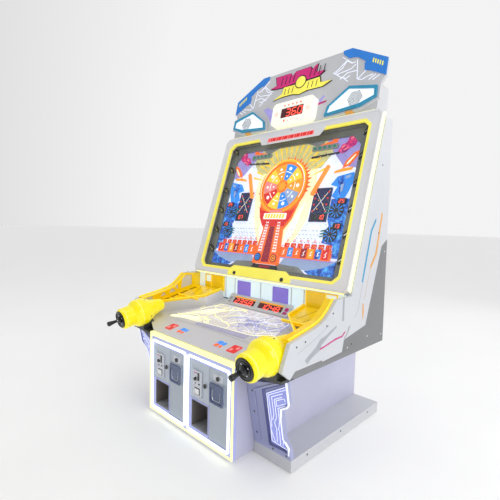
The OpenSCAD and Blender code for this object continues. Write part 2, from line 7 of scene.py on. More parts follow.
import json
import math
import random

import bmesh
import bpy
from mathutils import Matrix, Vector

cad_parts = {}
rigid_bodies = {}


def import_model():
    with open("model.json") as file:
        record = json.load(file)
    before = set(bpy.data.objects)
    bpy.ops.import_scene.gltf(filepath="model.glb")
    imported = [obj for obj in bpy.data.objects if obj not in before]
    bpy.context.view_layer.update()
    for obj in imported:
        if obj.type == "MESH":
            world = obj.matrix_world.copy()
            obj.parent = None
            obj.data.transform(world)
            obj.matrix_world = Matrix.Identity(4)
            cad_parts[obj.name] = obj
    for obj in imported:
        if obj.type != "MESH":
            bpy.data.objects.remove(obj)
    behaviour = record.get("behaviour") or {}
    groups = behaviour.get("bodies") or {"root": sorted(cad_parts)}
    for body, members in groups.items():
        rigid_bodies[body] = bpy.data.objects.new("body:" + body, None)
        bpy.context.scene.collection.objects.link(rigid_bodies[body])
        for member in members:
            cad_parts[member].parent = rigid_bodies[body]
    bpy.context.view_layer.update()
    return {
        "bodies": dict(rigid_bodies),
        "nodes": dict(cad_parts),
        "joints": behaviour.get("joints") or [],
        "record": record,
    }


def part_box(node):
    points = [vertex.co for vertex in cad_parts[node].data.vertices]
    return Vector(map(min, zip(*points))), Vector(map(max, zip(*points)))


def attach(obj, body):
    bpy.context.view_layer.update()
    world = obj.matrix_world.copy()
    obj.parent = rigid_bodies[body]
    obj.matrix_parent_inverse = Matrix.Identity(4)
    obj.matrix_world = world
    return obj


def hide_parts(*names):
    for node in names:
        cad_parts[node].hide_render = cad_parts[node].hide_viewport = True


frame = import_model()
NODES = frame["nodes"]
MM = 0.001
HANDS = ((-1, "left"), (1, "right"))

# Driving sizes, as in the CAD source
LEAN = math.radians(17.5)
HEADER_LEAN = math.radians(12.5)
WING_LEAN = math.radians(12.1)
DECK_TILT = math.radians(13.2)
LAUNCH_TILT = math.radians(11.7)
HALF_W = 620
INNER_W = 602
FRONT_HALF = 350
LIP_Z = 467
DOOR_Y, DOOR_Z, DOOR_LEN, DOOR_T = 494, 763, 1000, 28
DOOR_HALF = 608
PLAY_Z = -55
HUB_T = 612
WHEEL_R = 155
STATION_X = 167
LAUNCH_X, DISC_Y, DISC_Z = 515, -104, 517
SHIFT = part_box("front_face_frame")[0].y / MM
BACK_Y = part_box("rear_frame")[1].y / MM - SHIFT
SIDE_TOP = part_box("rear_frame")[1].z / MM


def local_frame(origin, x, y, z):
    """Matrix from millimetres in a local frame to metres in the row frame."""
    rows = [[x[i] * MM, y[i] * MM, z[i] * MM, origin[i] * MM] for i in range(3)]
    rows[1][3] += SHIFT * MM
    return Matrix(rows + [[0, 0, 0, 1]])


def leaning(origin, angle):
    """Frame of a plane that leans back by angle: x across, y up it, z out of its face."""
    s, c = math.sin(angle), math.cos(angle)
    return local_frame(origin, (1, 0, 0), (0, s, c), (0, -c, s))


SLOPE = leaning((0, DOOR_Y, DOOR_Z), LEAN)
HEADER = leaning((0, DOOR_Y + DOOR_LEN * math.sin(LEAN) + 14, SIDE_TOP + 41), HEADER_LEAN)
FACE = leaning((0, 0, 0), 0)
WING = leaning((0, 140, 60), -WING_LEAN)
DECK = local_frame((0, 0, LIP_Z), (1, 0, 0), (0, math.cos(DECK_TILT), math.sin(DECK_TILT)),
                   (0, -math.sin(DECK_TILT), math.cos(DECK_TILT)))
DISPLAY = leaning((0, 478, 582), math.atan2(54, 59))
BACK_WALL = leaning((0, 545, 602), 0)
REAR = local_frame((0, BACK_Y, 0), (-1, 0, 0), (0, 0, 1), (0, 1, 0))


def side_frame(s):
    """Outer face of a side panel: x towards the back, y up, z outwards."""
    return local_frame((s * HALF_W, 0, 0), (0, 1, 0), (0, 0, 1), (s, 0, 0))


def launch_frame(s):
    """A launcher: z along its axis towards the rear, 0 at the disc."""
    c, t = math.cos(LAUNCH_TILT), math.sin(LAUNCH_TILT)
    return local_frame((s * LAUNCH_X, DISC_Y, DISC_Z), (1, 0, 0), (0, t, -c), (0, c, t))


# ---------------------------------------------------------------- materials

def set_inputs(tree, node, **inputs):
    """Values or links for a node's inputs; an underscore in a name stands for a space."""
    for key, value in inputs.items():
        socket = node.inputs[key.replace("_", " ")]
        if isinstance(value, bpy.types.NodeSocket):
            tree.links.new(value, socket)
        else:
            socket.default_value = value


def add_node(tree, kind, **inputs):
    node = tree.nodes.new("ShaderNode" + kind)
    set_inputs(tree, node, **inputs)
    return node


def spread(tree, value, low, high):
    """Socket that runs from low to high as value runs from 0 to 1."""
    return add_node(tree, "MapRange", Value=value, To_Min=low, To_Max=high).outputs["Result"]


def relief(tree, height, strength, depth):
    return add_node(tree, "Bump", Height=height, Strength=strength, Distance=depth).outputs["Normal"]


def new_material(name):
    m = bpy.data.materials.new(name)
    m.use_nodes = True
    return m, m.node_tree, m.node_tree.nodes["Principled BSDF"]


def surface(name, color, rough=0.4, vary=0.06, scale=30.0, bump=0.15, metal=0.0, coat=0.0, glow=0.0,
            glow_color=None, alpha=1.0, grain=(1, 1, 1), edge_lighten=0.0):
    """Paint, plastic or metal: mottled colour and roughness, fine bump; grain, lighter sharp convex edges and
    glow if asked.
    """
    m, tree, bsdf = new_material(name)
    coord = add_node(tree, "TexCoord")
    place = add_node(tree, "Mapping", Vector=coord.outputs["Object"], Scale=grain).outputs["Vector"]
    mottle = add_node(tree, "TexNoise", Vector=place, Scale=scale, Detail=6).outputs["Fac"]
    ramp = add_node(tree, "ValToRGB", Fac=mottle)
    for stop, position, k in zip(ramp.color_ramp.elements, (0.3, 0.7), (1 - vary, 1 + vary)):
        stop.position = position
        stop.color = (*[min(1.0, max(0.0, c * k)) for c in color], 1)
    base = ramp.outputs["Color"]
    # lighter towards sharp convex edges, found by Pointiness
    if edge_lighten:
        edge = add_node(tree, "NewGeometry").outputs["Pointiness"]
        edge_mask = add_node(tree, "MapRange", Value=edge, From_Min=0.52, From_Max=0.62, To_Max=edge_lighten)
        edge_tone = (*[min(1, c * 1.25 + 0.05) for c in color], 1)
        base = add_node(tree, "MixRGB", Fac=edge_mask.outputs["Result"], Color1=base,
                        Color2=edge_tone).outputs["Color"]
    fine = add_node(tree, "TexNoise", Vector=place, Scale=400.0, Detail=3).outputs["Fac"]
    sheen = spread(tree, mottle, max(0.02, rough - 0.06), min(1.0, rough + 0.08))
    set_inputs(tree, bsdf, Base_Color=base, Metallic=metal, Alpha=alpha, Coat_Weight=coat,
               Coat_Roughness=0.08, Roughness=sheen, Normal=relief(tree, fine, bump, 0.0006))
    if glow:
        set_inputs(tree, bsdf, Emission_Color=(*(glow_color or color), 1),
                   Emission_Strength=spread(tree, mottle, glow * 0.85, glow * 1.15))
    return m


def blotches(name, colors, scale, glow):
    """Printed art: soft patches of three colours, as on a backlit playfield sheet."""
    m, tree, bsdf = new_material(name)
    coord = add_node(tree, "TexCoord")
    noise = add_node(tree, "TexNoise", Vector=coord.outputs["Object"], Scale=scale, Detail=2.5,
                     Distortion=0.8).outputs["Fac"]
    ramp = add_node(tree, "ValToRGB", Fac=noise)
    stops = ramp.color_ramp.elements
    for i, c in enumerate(colors):
        position = 0.3 + 0.4 * i / (len(colors) - 1)
        stop = stops[i] if i < 2 else stops.new(position)
        stop.position = position
        stop.color = (*c, 1)
    patches = ramp.outputs["Color"]
    set_inputs(tree, bsdf, Base_Color=patches, Roughness=0.35, Emission_Color=patches, Emission_Strength=glow,
               Normal=relief(tree, noise, 0.1, 0.0005))
    return m


WHITE = surface("white_paint", (0.68, 0.68, 0.73), 0.38, vary=0.03, scale=6, bump=0.12, coat=0.15, edge_lighten=0.4)
# the door frame white has a faint cream glow: painted light, as the frame holds no lamp
DOOR_WHITE = surface("door_white_paint", (0.76, 0.77, 0.82), 0.36, vary=0.03, scale=6, bump=0.12, coat=0.2,
                     edge_lighten=0.4, glow=0.05, glow_color=(1, 1, 0.92))
SIDE_WHITE = surface("side_white_paint", (0.60, 0.62, 0.66),
                     0.35, vary=0.03, scale=5, bump=0.1, coat=0.2, edge_lighten=0.4)
LILAC = surface("lilac_paint", (0.60, 0.60, 0.76), 0.4, vary=0.06, scale=3, bump=0.12, coat=0.1)
PLINTH = surface("plinth_paint", (0.54, 0.55, 0.58), 0.42, vary=0.05, scale=5, bump=0.2, edge_lighten=0.6)
CHARCOAL = surface("charcoal_paint", (0.19, 0.195, 0.205), 0.42, vary=0.06, scale=8, bump=0.25, edge_lighten=0.5)
WING_GREY = surface("wing_paint", (0.36, 0.38, 0.60), 0.4, vary=0.05, scale=8, bump=0.2, edge_lighten=0.5)
HEADER_GREY = surface("header_paint", (0.66, 0.67, 0.70), 0.34, vary=0.07, scale=2.5, bump=0.1, coat=0.2)
# the front face has a faint blue glow: painted light, as the face paint holds no lamp
FACE_LILAC = surface("face_paint", (0.45, 0.47, 0.82), 0.35, vary=0.06, scale=6, bump=0.1, glow=0.12,
                     glow_color=(0.5, 0.55, 1.0))
DOOR_STEEL = surface("door_steel", (0.50, 0.55, 0.62), 0.38, vary=0.04, scale=20, bump=0.25, metal=0.25,
                     grain=(1, 1, 30), edge_lighten=0.5)
# dark brown-grey inside of the return cups: painted shade of the recess over the steel
CUP_SHADED = surface("cup_steel_painted_shade", (0.20, 0.18, 0.17), 0.5, vary=0.08, scale=20, bump=0.25, grain=(1, 30, 1))
YELLOW = surface("launcher_yellow", (1.0, 0.86, 0.0), 0.24, vary=0.015, scale=8, bump=0.06, coat=0.5,
                 glow=0.22, glow_color=(1.0, 0.85, 0.0))
AMBER = surface("amber_acrylic", (0.95, 0.66, 0.0), 0.2, vary=0.05, scale=12, bump=0.05, coat=0.4, alpha=0.9,
                glow=0.16, glow_color=(1.0, 0.7, 0.0))
# dark amber: painted shade inside the amber ramps
AMBER_DARK = surface("amber_shade", (0.42, 0.24, 0.0), 0.3, vary=0.1)
# bright edges of the amber acrylic: painted light, as the acrylic holds no lamp
AMBER_EDGE = surface("amber_edge", (1.0, 0.72, 0.02), 0.25, vary=0.04, glow=0.4, glow_color=(1.0, 0.75, 0.05))
BLUE = surface("blue_plastic", (0.0, 0.22, 0.80), 0.3, vary=0.05, scale=15, bump=0.08, coat=0.35, edge_lighten=0.3)
CYAN = surface("cyan_plastic", (0.02, 0.33, 0.56), 0.28, vary=0.05, scale=15, bump=0.08, coat=0.35, edge_lighten=0.3)
BLACK = surface("black_plastic", (0.006, 0.0065, 0.008), 0.24, vary=0.2, scale=25, bump=0.12, coat=0.2)
RUBBER = surface("black_rubber", (0.02, 0.02, 0.02), 0.8, vary=0.2, scale=40, bump=0.5)
DARK_METAL = surface("dark_metal", (0.09, 0.095, 0.10), 0.42, vary=0.12, scale=20, bump=0.3, metal=0.6)
LANE_GREY = surface("lane_grey", (0.19, 0.21, 0.22), 0.35, vary=0.3, scale=5, bump=0.2, metal=0.3)
STEEL = surface("bright_steel", (0.68, 0.7, 0.73), 0.22, vary=0.05, scale=30, bump=0.15, metal=1.0,
                grain=(1, 1, 20))
CHROME = surface("chrome", (0.82, 0.83, 0.85), 0.08, vary=0.03, scale=20, bump=0.03, metal=1.0)
COIN_PLATE = surface("coin_plate", (0.66, 0.69, 0.75),
                     0.25, vary=0.04, scale=25, bump=0.15, metal=0.4, coat=0.2)
TICKET_BLUE = surface("ticket_bezel", (0.07, 0.11, 0.24), 0.18, vary=0.15, scale=12, bump=0.05, coat=0.6)
GLOW_WHITE = surface("tube_glow", (0.86, 0.93, 1.0), 0.3, vary=0.02, glow=1.5, glow_color=(0.78, 0.88, 1.0))
GLOW_YELLOW = surface("yellow_glow", (1.0, 0.98, 0.45), 0.3, vary=0.04, scale=9, glow=0.75,
                      glow_color=(1.0, 0.97, 0.35))
GLOW_CREAM = surface("cream_glow", (1.0, 1.0, 0.72), 0.3, vary=0.03, glow=0.6, glow_color=(1.0, 1.0, 0.58))
DECK_GLOW = surface("deck_glow", (0.86, 0.86, 0.96), 0.3, vary=0.03, glow=0.32, glow_color=(0.9, 0.9, 1.0))
TRIM_YELLOW = surface("trim_yellow", (0.98, 0.88, 0.12), 0.3, vary=0.05, scale=8, bump=0.08, coat=0.3,
                      glow=0.3, glow_color=(1.0, 0.9, 0.1))
VIOLET = surface("violet_acrylic", (0.26, 0.29, 0.66), 0.25, vary=0.08, scale=6, coat=0.3, glow=0.3,
                 glow_color=(0.34, 0.38, 0.95))
TRACE = surface("trace_glow", (0.82, 0.85, 1.0), 0.3, vary=0.02, glow=0.5, glow_color=(0.80, 0.84, 1.0))
VIOLET_DARK = surface("violet_shade", (0.10, 0.11, 0.34), 0.4, vary=0.08)
BACKLIT = surface("backlit_panel", (0.72, 0.86, 0.95), 0.3, vary=0.04, scale=3, glow=0.45,
                  glow_color=(0.7, 0.88, 1.0))
PURPLE_LIT = surface("backlit_purple", (0.26, 0.20, 0.88), 0.3, vary=0.05, glow=0.16,
                     glow_color=(0.4, 0.3, 1.0))
GLASS = surface("door_glass", (0.95, 0.98, 1.0), 0.03, vary=0.01, bump=0.0, alpha=0.02, coat=0.4)
RED_LED = surface("red_led", (1.0, 0.05, 0.03), 0.4, vary=0.05, glow=2.6, glow_color=(1.0, 0.07, 0.04))
LED_WINDOW = surface("led_window", (0.10, 0.004, 0.006), 0.15, vary=0.2, scale=30, coat=0.6)
MAGENTA = surface("magenta_plastic", (0.74, 0.015, 0.22), 0.3, vary=0.05, coat=0.3, glow=0.1)
ORANGE = surface("orange_lit", (1.0, 0.28, 0.03), 0.3, vary=0.08, scale=15, coat=0.2, glow=0.5,
                 glow_color=(1.0, 0.3, 0.03))
ORANGE_DECAL = surface("orange_decal", (0.86, 0.42, 0.10), 0.35, vary=0.05)
CYAN_DECAL = surface("cyan_decal", (0.05, 0.36, 0.62), 0.35, vary=0.05)
MAGENTA_DECAL = surface("magenta_decal", (0.62, 0.03, 0.26), 0.35, vary=0.05)
GREY_DECAL = surface("grey_decal", (0.42, 0.43, 0.48), 0.4, vary=0.05)
GREEN_BOARD = surface("circuit_board", (0.02, 0.16, 0.06), 0.4, vary=0.2, scale=60, bump=0.4)
POD_WHITE = surface("pod_white", (0.86, 0.91, 0.95), 0.3, vary=0.02, glow=0.5, glow_color=(0.85, 0.93, 1.0))
SCORE_WHITE = surface("score_white", (0.93, 0.92, 0.86), 0.28, vary=0.02, coat=0.3, glow=0.35,
                      glow_color=(1.0, 0.98, 0.86))

# playfield inks: half pigment, half light from behind

def backlit(name, color, glow=0.62, vary=0.08):
    return surface("ink_" + name, tuple(0.5 * c for c in color),
                   0.35, vary=vary, scale=18, glow=glow, glow_color=color)


INK = {
    "cream": backlit("cream", (1.0, 0.95, 0.60), 0.8, 0.12),
    "khaki": backlit("khaki", (0.62, 0.58, 0.24), 0.7, 0.25),
    "pale": backlit("pale", (0.78, 0.84, 0.98), 0.85, 0.12),
    "mist": backlit("mist", (0.62, 0.60, 0.86), 0.25, 0.08),
    "white": backlit("white", (0.98, 0.97, 0.94), 0.8, 0.03),
    "yellow": backlit("yellow", (1.0, 0.66, 0.04), 0.75),
    "gold": backlit("gold", (1.0, 0.38, 0.01), 0.7),
    "orange": backlit("orange", (1.0, 0.15, 0.005), 0.7),
    "red": backlit("red", (0.80, 0.012, 0.012), 0.6),
    "crimson": backlit("crimson", (0.50, 0.01, 0.05), 0.3),
    "pink": backlit("pink", (0.95, 0.28, 0.28)),
    "magenta": blotches("ink_magenta", [(0.22, 0.0, 0.16), (0.6, 0.01, 0.16), (0.8, 0.06, 0.25)], 40, 0.45),
    "lilac": backlit("lilac", (0.42, 0.38, 0.86), 0.5),
    "blue": blotches("ink_blue", [(0.0, 0.02, 0.18), (0.01, 0.12, 0.6), (0.08, 0.45, 0.95)], 34, 0.55),
    "sky": backlit("sky", (0.02, 0.28, 0.92), 0.7),
    "ice": backlit("ice", (0.45, 0.62, 0.98), 0.35),
    "navy": surface("ink_navy", (0.008, 0.02, 0.12), 0.3, vary=0.15, scale=25),
    "teal": backlit("teal", (0.02, 0.35, 0.36), 0.2),
    "green": backlit("green", (0.02, 0.38, 0.22), 0.25),
    "grey": surface("ink_grey", (0.30, 0.33, 0.35), 0.35, vary=0.15, scale=14),
    "dark": surface("ink_dark", (0.015, 0.018, 0.03), 0.3, vary=0.2, scale=20),
}

# ---------------------------------------------------------------- mesh tools


def soften(o, width, angle):
    """Rounds the edges that are sharper than angle, in degrees."""
    mod = o.modifiers.new("edge", "BEVEL")
    mod.width = width * MM
    mod.segments = 2
    mod.limit_method = "ANGLE"
    mod.angle_limit = math.radians(angle)


class Batch:
    """Gathers shapes of one material, drawn in one frame at a time and riding on one body, into one piece."""

    def __init__(self, name, material, frame=None, body="cabinet", bevel=0.0):
        self.name, self.material, self.body, self.bevel = name, material, body, bevel
        self.frame = frame
        self.bm = bmesh.new()

    def on(self, frame):
        """The shapes that follow are drawn in this frame."""
        self.frame = frame
        return self

    def point(self, x, y, z):
        return self.bm.verts.new(self.frame @ Vector((x, y, z)))

    def poly(self, pts, z0, z1):
        """Prism from an outline, z0 to z1 in the local frame."""
        low = [self.point(x, y, z0) for x, y in pts]
        high = [self.point(x, y, z1) for x, y in pts]
        self.bm.faces.new(high)
        self.bm.faces.new(list(reversed(low)))
        for i in range(len(pts)):
            j = (i + 1) % len(pts)
            self.bm.faces.new((low[i], low[j], high[j], high[i]))
        return self

    def band(self, outer, inner, z0, z1):
        """Ring between two outlines with the same number of points."""
        rings = [[self.point(x, y, z) for x, y in pts]
                 for pts, z in ((outer, z0), (inner, z0), (inner, z1), (outer, z1))]
        n = len(outer)
        for i in range(n):
            j = (i + 1) % n
            for a, b in ((0, 1), (1, 2), (2, 3), (3, 0)):
                self.bm.faces.new((rings[a][i], rings[a][j], rings[b][j], rings[b][i]))
        return self

    def line(self, pts, width, z0, z1):
        """Ribbon along a path, mitred at its corners."""
        left, right = [], []
        for i, p in enumerate(pts):
            a = Vector(pts[max(0, i - 1)])
            b = Vector(pts[min(len(pts) - 1, i + 1)])
            p = Vector(p)
            before = (p - a).normalized() if i else (b - p).normalized()
            after = (b - p).normalized() if i < len(pts) - 1 else before
            way = (before + after).normalized() if (before + after).length > 1e-6 else before
            side = Vector((-way.y, way.x))
            grow = 1 / max(0.5, side.dot(Vector((-before.y, before.x))))
            left.append(p + side * width / 2 * grow)
            right.append(p - side * width / 2 * grow)
        return self.poly([tuple(v) for v in left + right[::-1]], z0, z1)

    def rect(self, x0, y0, x1, y1, z0, z1):
        x0, x1 = sorted((x0, x1))
        return self.poly([(x0, y0), (x1, y0), (x1, y1), (x0, y1)], z0, z1)

    def disc(self, x, y, r, z0, z1, n=32):
        return self.poly(circle(x, y, r, n), z0, z1)

    def ring(self, x, y, r1, r0, z0, z1, n=48):
        return self.band(circle(x, y, r1, n), circle(x, y, r0, n), z0, z1)

    def sector(self, x, y, r0, r1, a0, a1, z0, z1, n=8):
        arc = [math.radians(a0 + (a1 - a0) * i / n) for i in range(n + 1)]
        pts = [(x + r1 * math.cos(a), y + r1 * math.sin(a)) for a in arc]
        pts += [(x + r0 * math.cos(a), y + r0 * math.sin(a)) for a in reversed(arc)]
        return self.poly(pts, z0, z1)

    def lathe(self, profile, n=64):
        """Solid of revolution about the local z axis; profile holds (radius, z)."""
        rings = []
        for r, z in profile:
            if r < 1e-6:
                rings.append([self.point(0, 0, z)])
            else:
                rings.append([self.point(x, y, z) for x, y in circle(0, 0, r, n)])
        for a, b in zip(rings, rings[1:]):
            for k in range(n):
                j = (k + 1) % n
                if len(a) == 1 and len(b) > 1:
                    self.bm.faces.new((a[0], b[j], b[k]))
                elif len(b) == 1 and len(a) > 1:
                    self.bm.faces.new((a[k], a[j], b[0]))
                elif len(a) > 1:
                    self.bm.faces.new((a[k], a[j], b[j], b[k]))
        return self

    def sweep(self, path, r, closed=False, n=10):
        """Round tube along a path of (x, y, z) points."""
        pts = [Vector(p) for p in path]
        rings = []
        for i, p in enumerate(pts):
            if closed:
                way = (pts[(i + 1) % len(pts)] - pts[i - 1]).normalized()
            else:
                way = (pts[min(i + 1, len(pts) - 1)] - pts[max(i - 1, 0)]).normalized()
            side = way.orthogonal() if abs(way.z) > 0.9 else way.cross(Vector((0, 0, 1)))
            side.normalize()
            up = side.cross(way)
            rings.append([self.point(*(p + side * x + up * y)) for x, y in circle(0, 0, r, n)])
        pairs = list(zip(rings, rings[1:])) + ([(rings[-1], rings[0])] if closed else [])
        for a, b in pairs:
            for k in range(n):
                self.bm.faces.new((a[k], a[(k + 1) % n], b[(k + 1) % n], b[k]))
        if not closed:
            self.bm.faces.new(list(reversed(rings[0])))
            self.bm.faces.new(rings[-1])
        return self

    def make(self, smooth=None, replaces=(), slot=None):
        bmesh.ops.recalc_face_normals(self.bm, faces=self.bm.faces)
        mesh = bpy.data.meshes.new(self.name)
        self.bm.to_mesh(mesh)
        self.bm.free()
        o = bpy.data.objects.new(self.name, mesh)
        bpy.context.scene.collection.objects.link(o)
        mesh.materials.append(self.material)
        if self.bevel:
            soften(o, self.bevel, 40)
        if smooth:
            for p in mesh.polygons:
                p.use_smooth = True
            mod = o.modifiers.new("smooth_angle", "EDGE_SPLIT")
            mod.split_angle = math.radians(smooth)
        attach(o, self.body)
        if replaces:
            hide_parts(*replaces)
        return o


def circle(x, y, r, n=32):
    return [(x + r * math.cos(i * math.tau / n), y + r * math.sin(i * math.tau / n)) for i in range(n)]


def rounded(x0, y0, x1, y1, r, n=6):
    """Outline of a rounded rectangle."""
    pts = []
    middles = ((x1 - r, y1 - r, 0), (x0 + r, y1 - r, 90), (x0 + r, y0 + r, 180), (x1 - r, y0 + r, 270))
    for cx, cy, a in middles:
        for i in range(n + 1):
            b = math.radians(a + 90 * i / n)
            pts.append((cx + r * math.cos(b), cy + r * math.sin(b)))
    return pts


def on_side(s, pts):
    """Outline drawn for the right hand (s = 1), or its mirror image for the left (s = -1)."""
    return pts if s > 0 else [(-x, y) for x, y in reversed(pts)]


SEGMENTS = {"0": "abcdef", "1": "bc", "2": "abged", "3": "abgcd", "4": "fgbc", "5": "afgcd", "6": "afgedc",
            "7": "abc", "8": "abcdefg", "9": "abcdfg"}


def digits(batch, text, x, y, w, h, gap, z0, z1, slant=0.1):
    """Seven-segment numerals, drawn from x rightwards."""
    t = w * 0.16
    for ch in text:
        seg = {"a": (0, h, w, h), "d": (0, 0, w, 0), "g": (0, h / 2, w, h / 2), "f": (0, h / 2, 0, h),
               "e": (0, 0, 0, h / 2), "b": (w, h / 2, w, h), "c": (w, 0, w, h / 2)}
        for s in SEGMENTS.get(ch, ""):
            x0, y0, x1, y1 = seg[s]
            k = t * 0.6
            if x0 == x1:
                y0, y1 = y0 + k, y1 - k
            else:
                x0, x1 = x0 + k, x1 - k
            batch.line([(x + x0 + slant * y0, y + y0), (x + x1 + slant * y1, y + y1)], t, z0, z1)
        x += w + gap


def paint(names, material, bevel=1.2):
    """Gives CAD nodes their material and softens their edges."""
    for n in names.split():
        o = NODES[n]
        o.data.materials.clear()
        o.data.materials.append(material)
        if bevel:
            soften(o, bevel, 50)


def screws(name, places, r=4.5, body="cabinet", material=DARK_METAL):
    """Pan-head screws; places hold (frame, x, y, z)."""
    head = Batch(name, material, body=body)
    for m, x, y, z in places:
        at = m @ Matrix.Translation((x, y, z))
        head.on(at).lathe([(0, r * 0.45), (r * 0.3, r * 0.42), (r * 0.75, r * 0.3), (r, 0.1), (r, -0.2)], 16)
    return head.make(smooth=50)


# ---------------------------------------------------------------- CAD nodes

paint("base_plinth", PLINTH, 2)
paint("levelling_feet", RUBBER, 0)
paint("lower_body_boards cabinet_floor", LILAC, 1.5)
paint("front_face_frame", FACE_LILAC, 1)
# the return cups take the painted-shade colour
paint("return_cups", CUP_SHADED, 0.8)
paint("wing_panels", WING_GREY, 1.5)
paint("wing_lights", VIOLET, 0)
paint("left_side_panel right_side_panel", SIDE_WHITE, 2)
paint("rear_corner_panels", CHARCOAL, 1.5)
paint("rear_frame service_door", PLINTH, 1)
paint("console_deck", WHITE, 1.5)
paint("left_launcher_shell right_launcher_shell", YELLOW, 2)
paint("launcher_discs", BLACK, 1.2)
paint("left_plunger right_plunger", CHROME, 0.5)
paint("launcher_brackets", DARK_METAL, 1)
paint("ball_ramps", AMBER, 1)
paint("console_display", WHITE, 1)
paint("console_back_panel", BACKLIT, 0)
paint("left_coin_door right_coin_door left_ticket_door right_ticket_door", DOOR_STEEL, 0.8)
paint("left_coin_mech right_coin_mech", COIN_PLATE, 0.8)
paint("left_reject_button right_reject_button", BLACK, 0.6)
paint("left_coin_lock right_coin_lock left_ticket_lock right_ticket_lock", DARK_METAL, 0.5)
paint("left_frame_lock right_frame_lock", DARK_METAL, 0.5)
paint("ticket_dispensers", BLACK, 1)
paint("cash_boxes", DARK_METAL, 0.6)
paint("door_frame", DOOR_WHITE, 1.5)
paint("door_glass", GLASS, 0)
paint("playfield_board", INK["pale"], 0)
paint("playfield_surround", LANE_GREY, 1)
paint("pin_field", CHROME, 0)
paint("pocket_rows", INK["orange"], 0.5)
paint("centre_tower", INK["orange"], 1.5)
paint("wheel_disc", INK["gold"], 1)
paint("wheel_motor", DARK_METAL, 0.5)
paint("main_board", GREEN_BOARD, 0.5)
paint("left_gate_bar right_gate_bar", ORANGE, 2)
paint("led_panels", INK["navy"], 1)
paint("header_shell", HEADER_GREY, 1.5)
paint("header_corner_caps", BLUE, 1)
paint("title_emblem", MAGENTA, 1)
paint("speaker_pods", CYAN, 1.2)
paint("score_display", SCORE_WHITE, 5)
paint("power_supply", STEEL, 0.6)

# ---------------------------------------------------------------- front box

tubes = Batch("station_light_tubes", GLOW_WHITE, FACE)
holders = Batch("tube_channels", WHITE, FACE)
for c in (-STATION_X, STATION_X):
    mid = rounded(c - 154, 41, c + 154, 423, 13.5, 8)
    tubes.sweep([(x, y, 5.0) for x, y in mid], 6.2, closed=True)
    holders.band(rounded(c - 161, 34, c + 161, 430, 32, 8), rounded(c - 147, 48, c + 147, 416, 5, 8),
                 0, 2.2)
tubes.make(smooth=60, replaces=["front_light_strips"], slot="lit_white")
holders.make()
edges = Batch("front_edge_strips", GLOW_YELLOW, FACE, bevel=2)
edges.rect(-FRONT_HALF, LIP_Z - 20, FRONT_HALF, LIP_Z, -12, 6)
for s in (-1, 1):
    edges.rect(s * (FRONT_HALF - 11), 16, s * FRONT_HALF, LIP_Z - 21, 0, 6)
edges.rect(-FRONT_HALF + 12, 16, FRONT_HALF - 12, 25, 0, 6)
edges.make(slot="lit_yellow")

# Lock centres from the middle of a station
COIN_LOCK_X, COIN_LOCK_Z = -21, 300
TICKET_LOCK_X, TICKET_LOCK_Z = 72, 364
for s, c in (("left", -STATION_X), ("right", STATION_X)):
    coin = Batch(s + "_coin_details", BLACK, FACE, s + "_coin_door", bevel=0.4)
    coin.rect(c - 76, 312, c - 64, 352, 4, 5.5)
    coin.rect(c - 100, 240, c - 58, 275, 3.8, 4.6)
    coin.disc(c - 64, 296, 5, 4, 5.2)
    coin.disc(c - 92, 296, 4, 4, 5.2)
    coin.make()
    flap = Batch(s + "_return_flap", CHROME, FACE, s + "_coin_door", bevel=0.8)
    flap.rect(c - 96, 244, c - 62, 271, 4.6, 7)
    flap.ring(c - 92, 318, 13, 10, 4, 6.5)
    flap.rect(c - 111, 357, c - 47, 359, 4, 5)
    flap.make()
    art = Batch(s + "_coin_marks", MAGENTA_DECAL, FACE, s + "_coin_door")
    art.rect(c - 106, 346, c - 84, 350, 4, 4.4)
    art.rect(c - 106, 285, c - 98, 288, 4, 4.4)
    art.make()
    screws(s + "_coin_screws", [(FACE, c + x, z, 4) for x in (-108, -50) for z in (236, 356)],
           3.4, s + "_coin_door", STEEL)
    Batch(s + "_lock_rings", CHROME, FACE, s + "_coin_door").ring(
        c + COIN_LOCK_X, COIN_LOCK_Z, 15, 12.4, -2, 2.5).make()
    Batch(s + "_ticket_lock_ring", CHROME, FACE, s + "_ticket_door").ring(
        c + TICKET_LOCK_X, TICKET_LOCK_Z, 15, 12.4, -2, 2.5).make()
    Batch(s + "_ticket_mouth", TICKET_BLUE, FACE, s + "_ticket_door", bevel=2.5).band(
        rounded(c + 20, 239, c + 120, 341, 14), rounded(c + 31, 250, c + 109, 318, 9), 6, 11).make()
    Batch(s + "_ticket_window", TICKET_BLUE, FACE, s + "_ticket_door", bevel=1).poly(
        rounded(c + 31.5, 250.5, c + 108.5, 317.5, 9), 6, 7.5).make()
    # U-shaped chrome strip on the ticket window: a painted highlight on the glossy window
    Batch(s + "_ticket_window_highlight", CHROME, FACE, s + "_ticket_door", bevel=0.8).line(
        [(c + 42, 308), (c + 42, 270), (c + 48, 260), (c + 92, 260), (c + 98, 270), (c + 98, 308)], 2.2,
        7.5, 9.5).make()
    Batch(s + "_ticket_label", COIN_PLATE, FACE, s + "_ticket_door", bevel=1).poly(
        rounded(c + 40, 322, c + 104, 386, 12), -2, -0.6).make()
    for door, x, z in (("coin", c + COIN_LOCK_X, COIN_LOCK_Z), ("ticket", c + TICKET_LOCK_X, TICKET_LOCK_Z)):
        key = Batch("%s_%s_keyhole" % (s, door), BLACK, FACE, "%s_%s_lock" % (s, door))
        key.disc(x, z, 4.2, 4.4, 4.9)
        key.rect(x - 0.9, z - 6.5, x + 0.9, z + 6.5, 4.9, 5.2)
        key.make()
    # pale plate on the cup floor: painted light where the floor of the shaded cup is lit
    Batch(s + "_cup_floor_painted_light", COIN_PLATE, FACE, bevel=0.5).rect(c - 122, 65.6, c - 1, 67.4, -90, -1).make()

# ---------------------------------------------------------------- wings

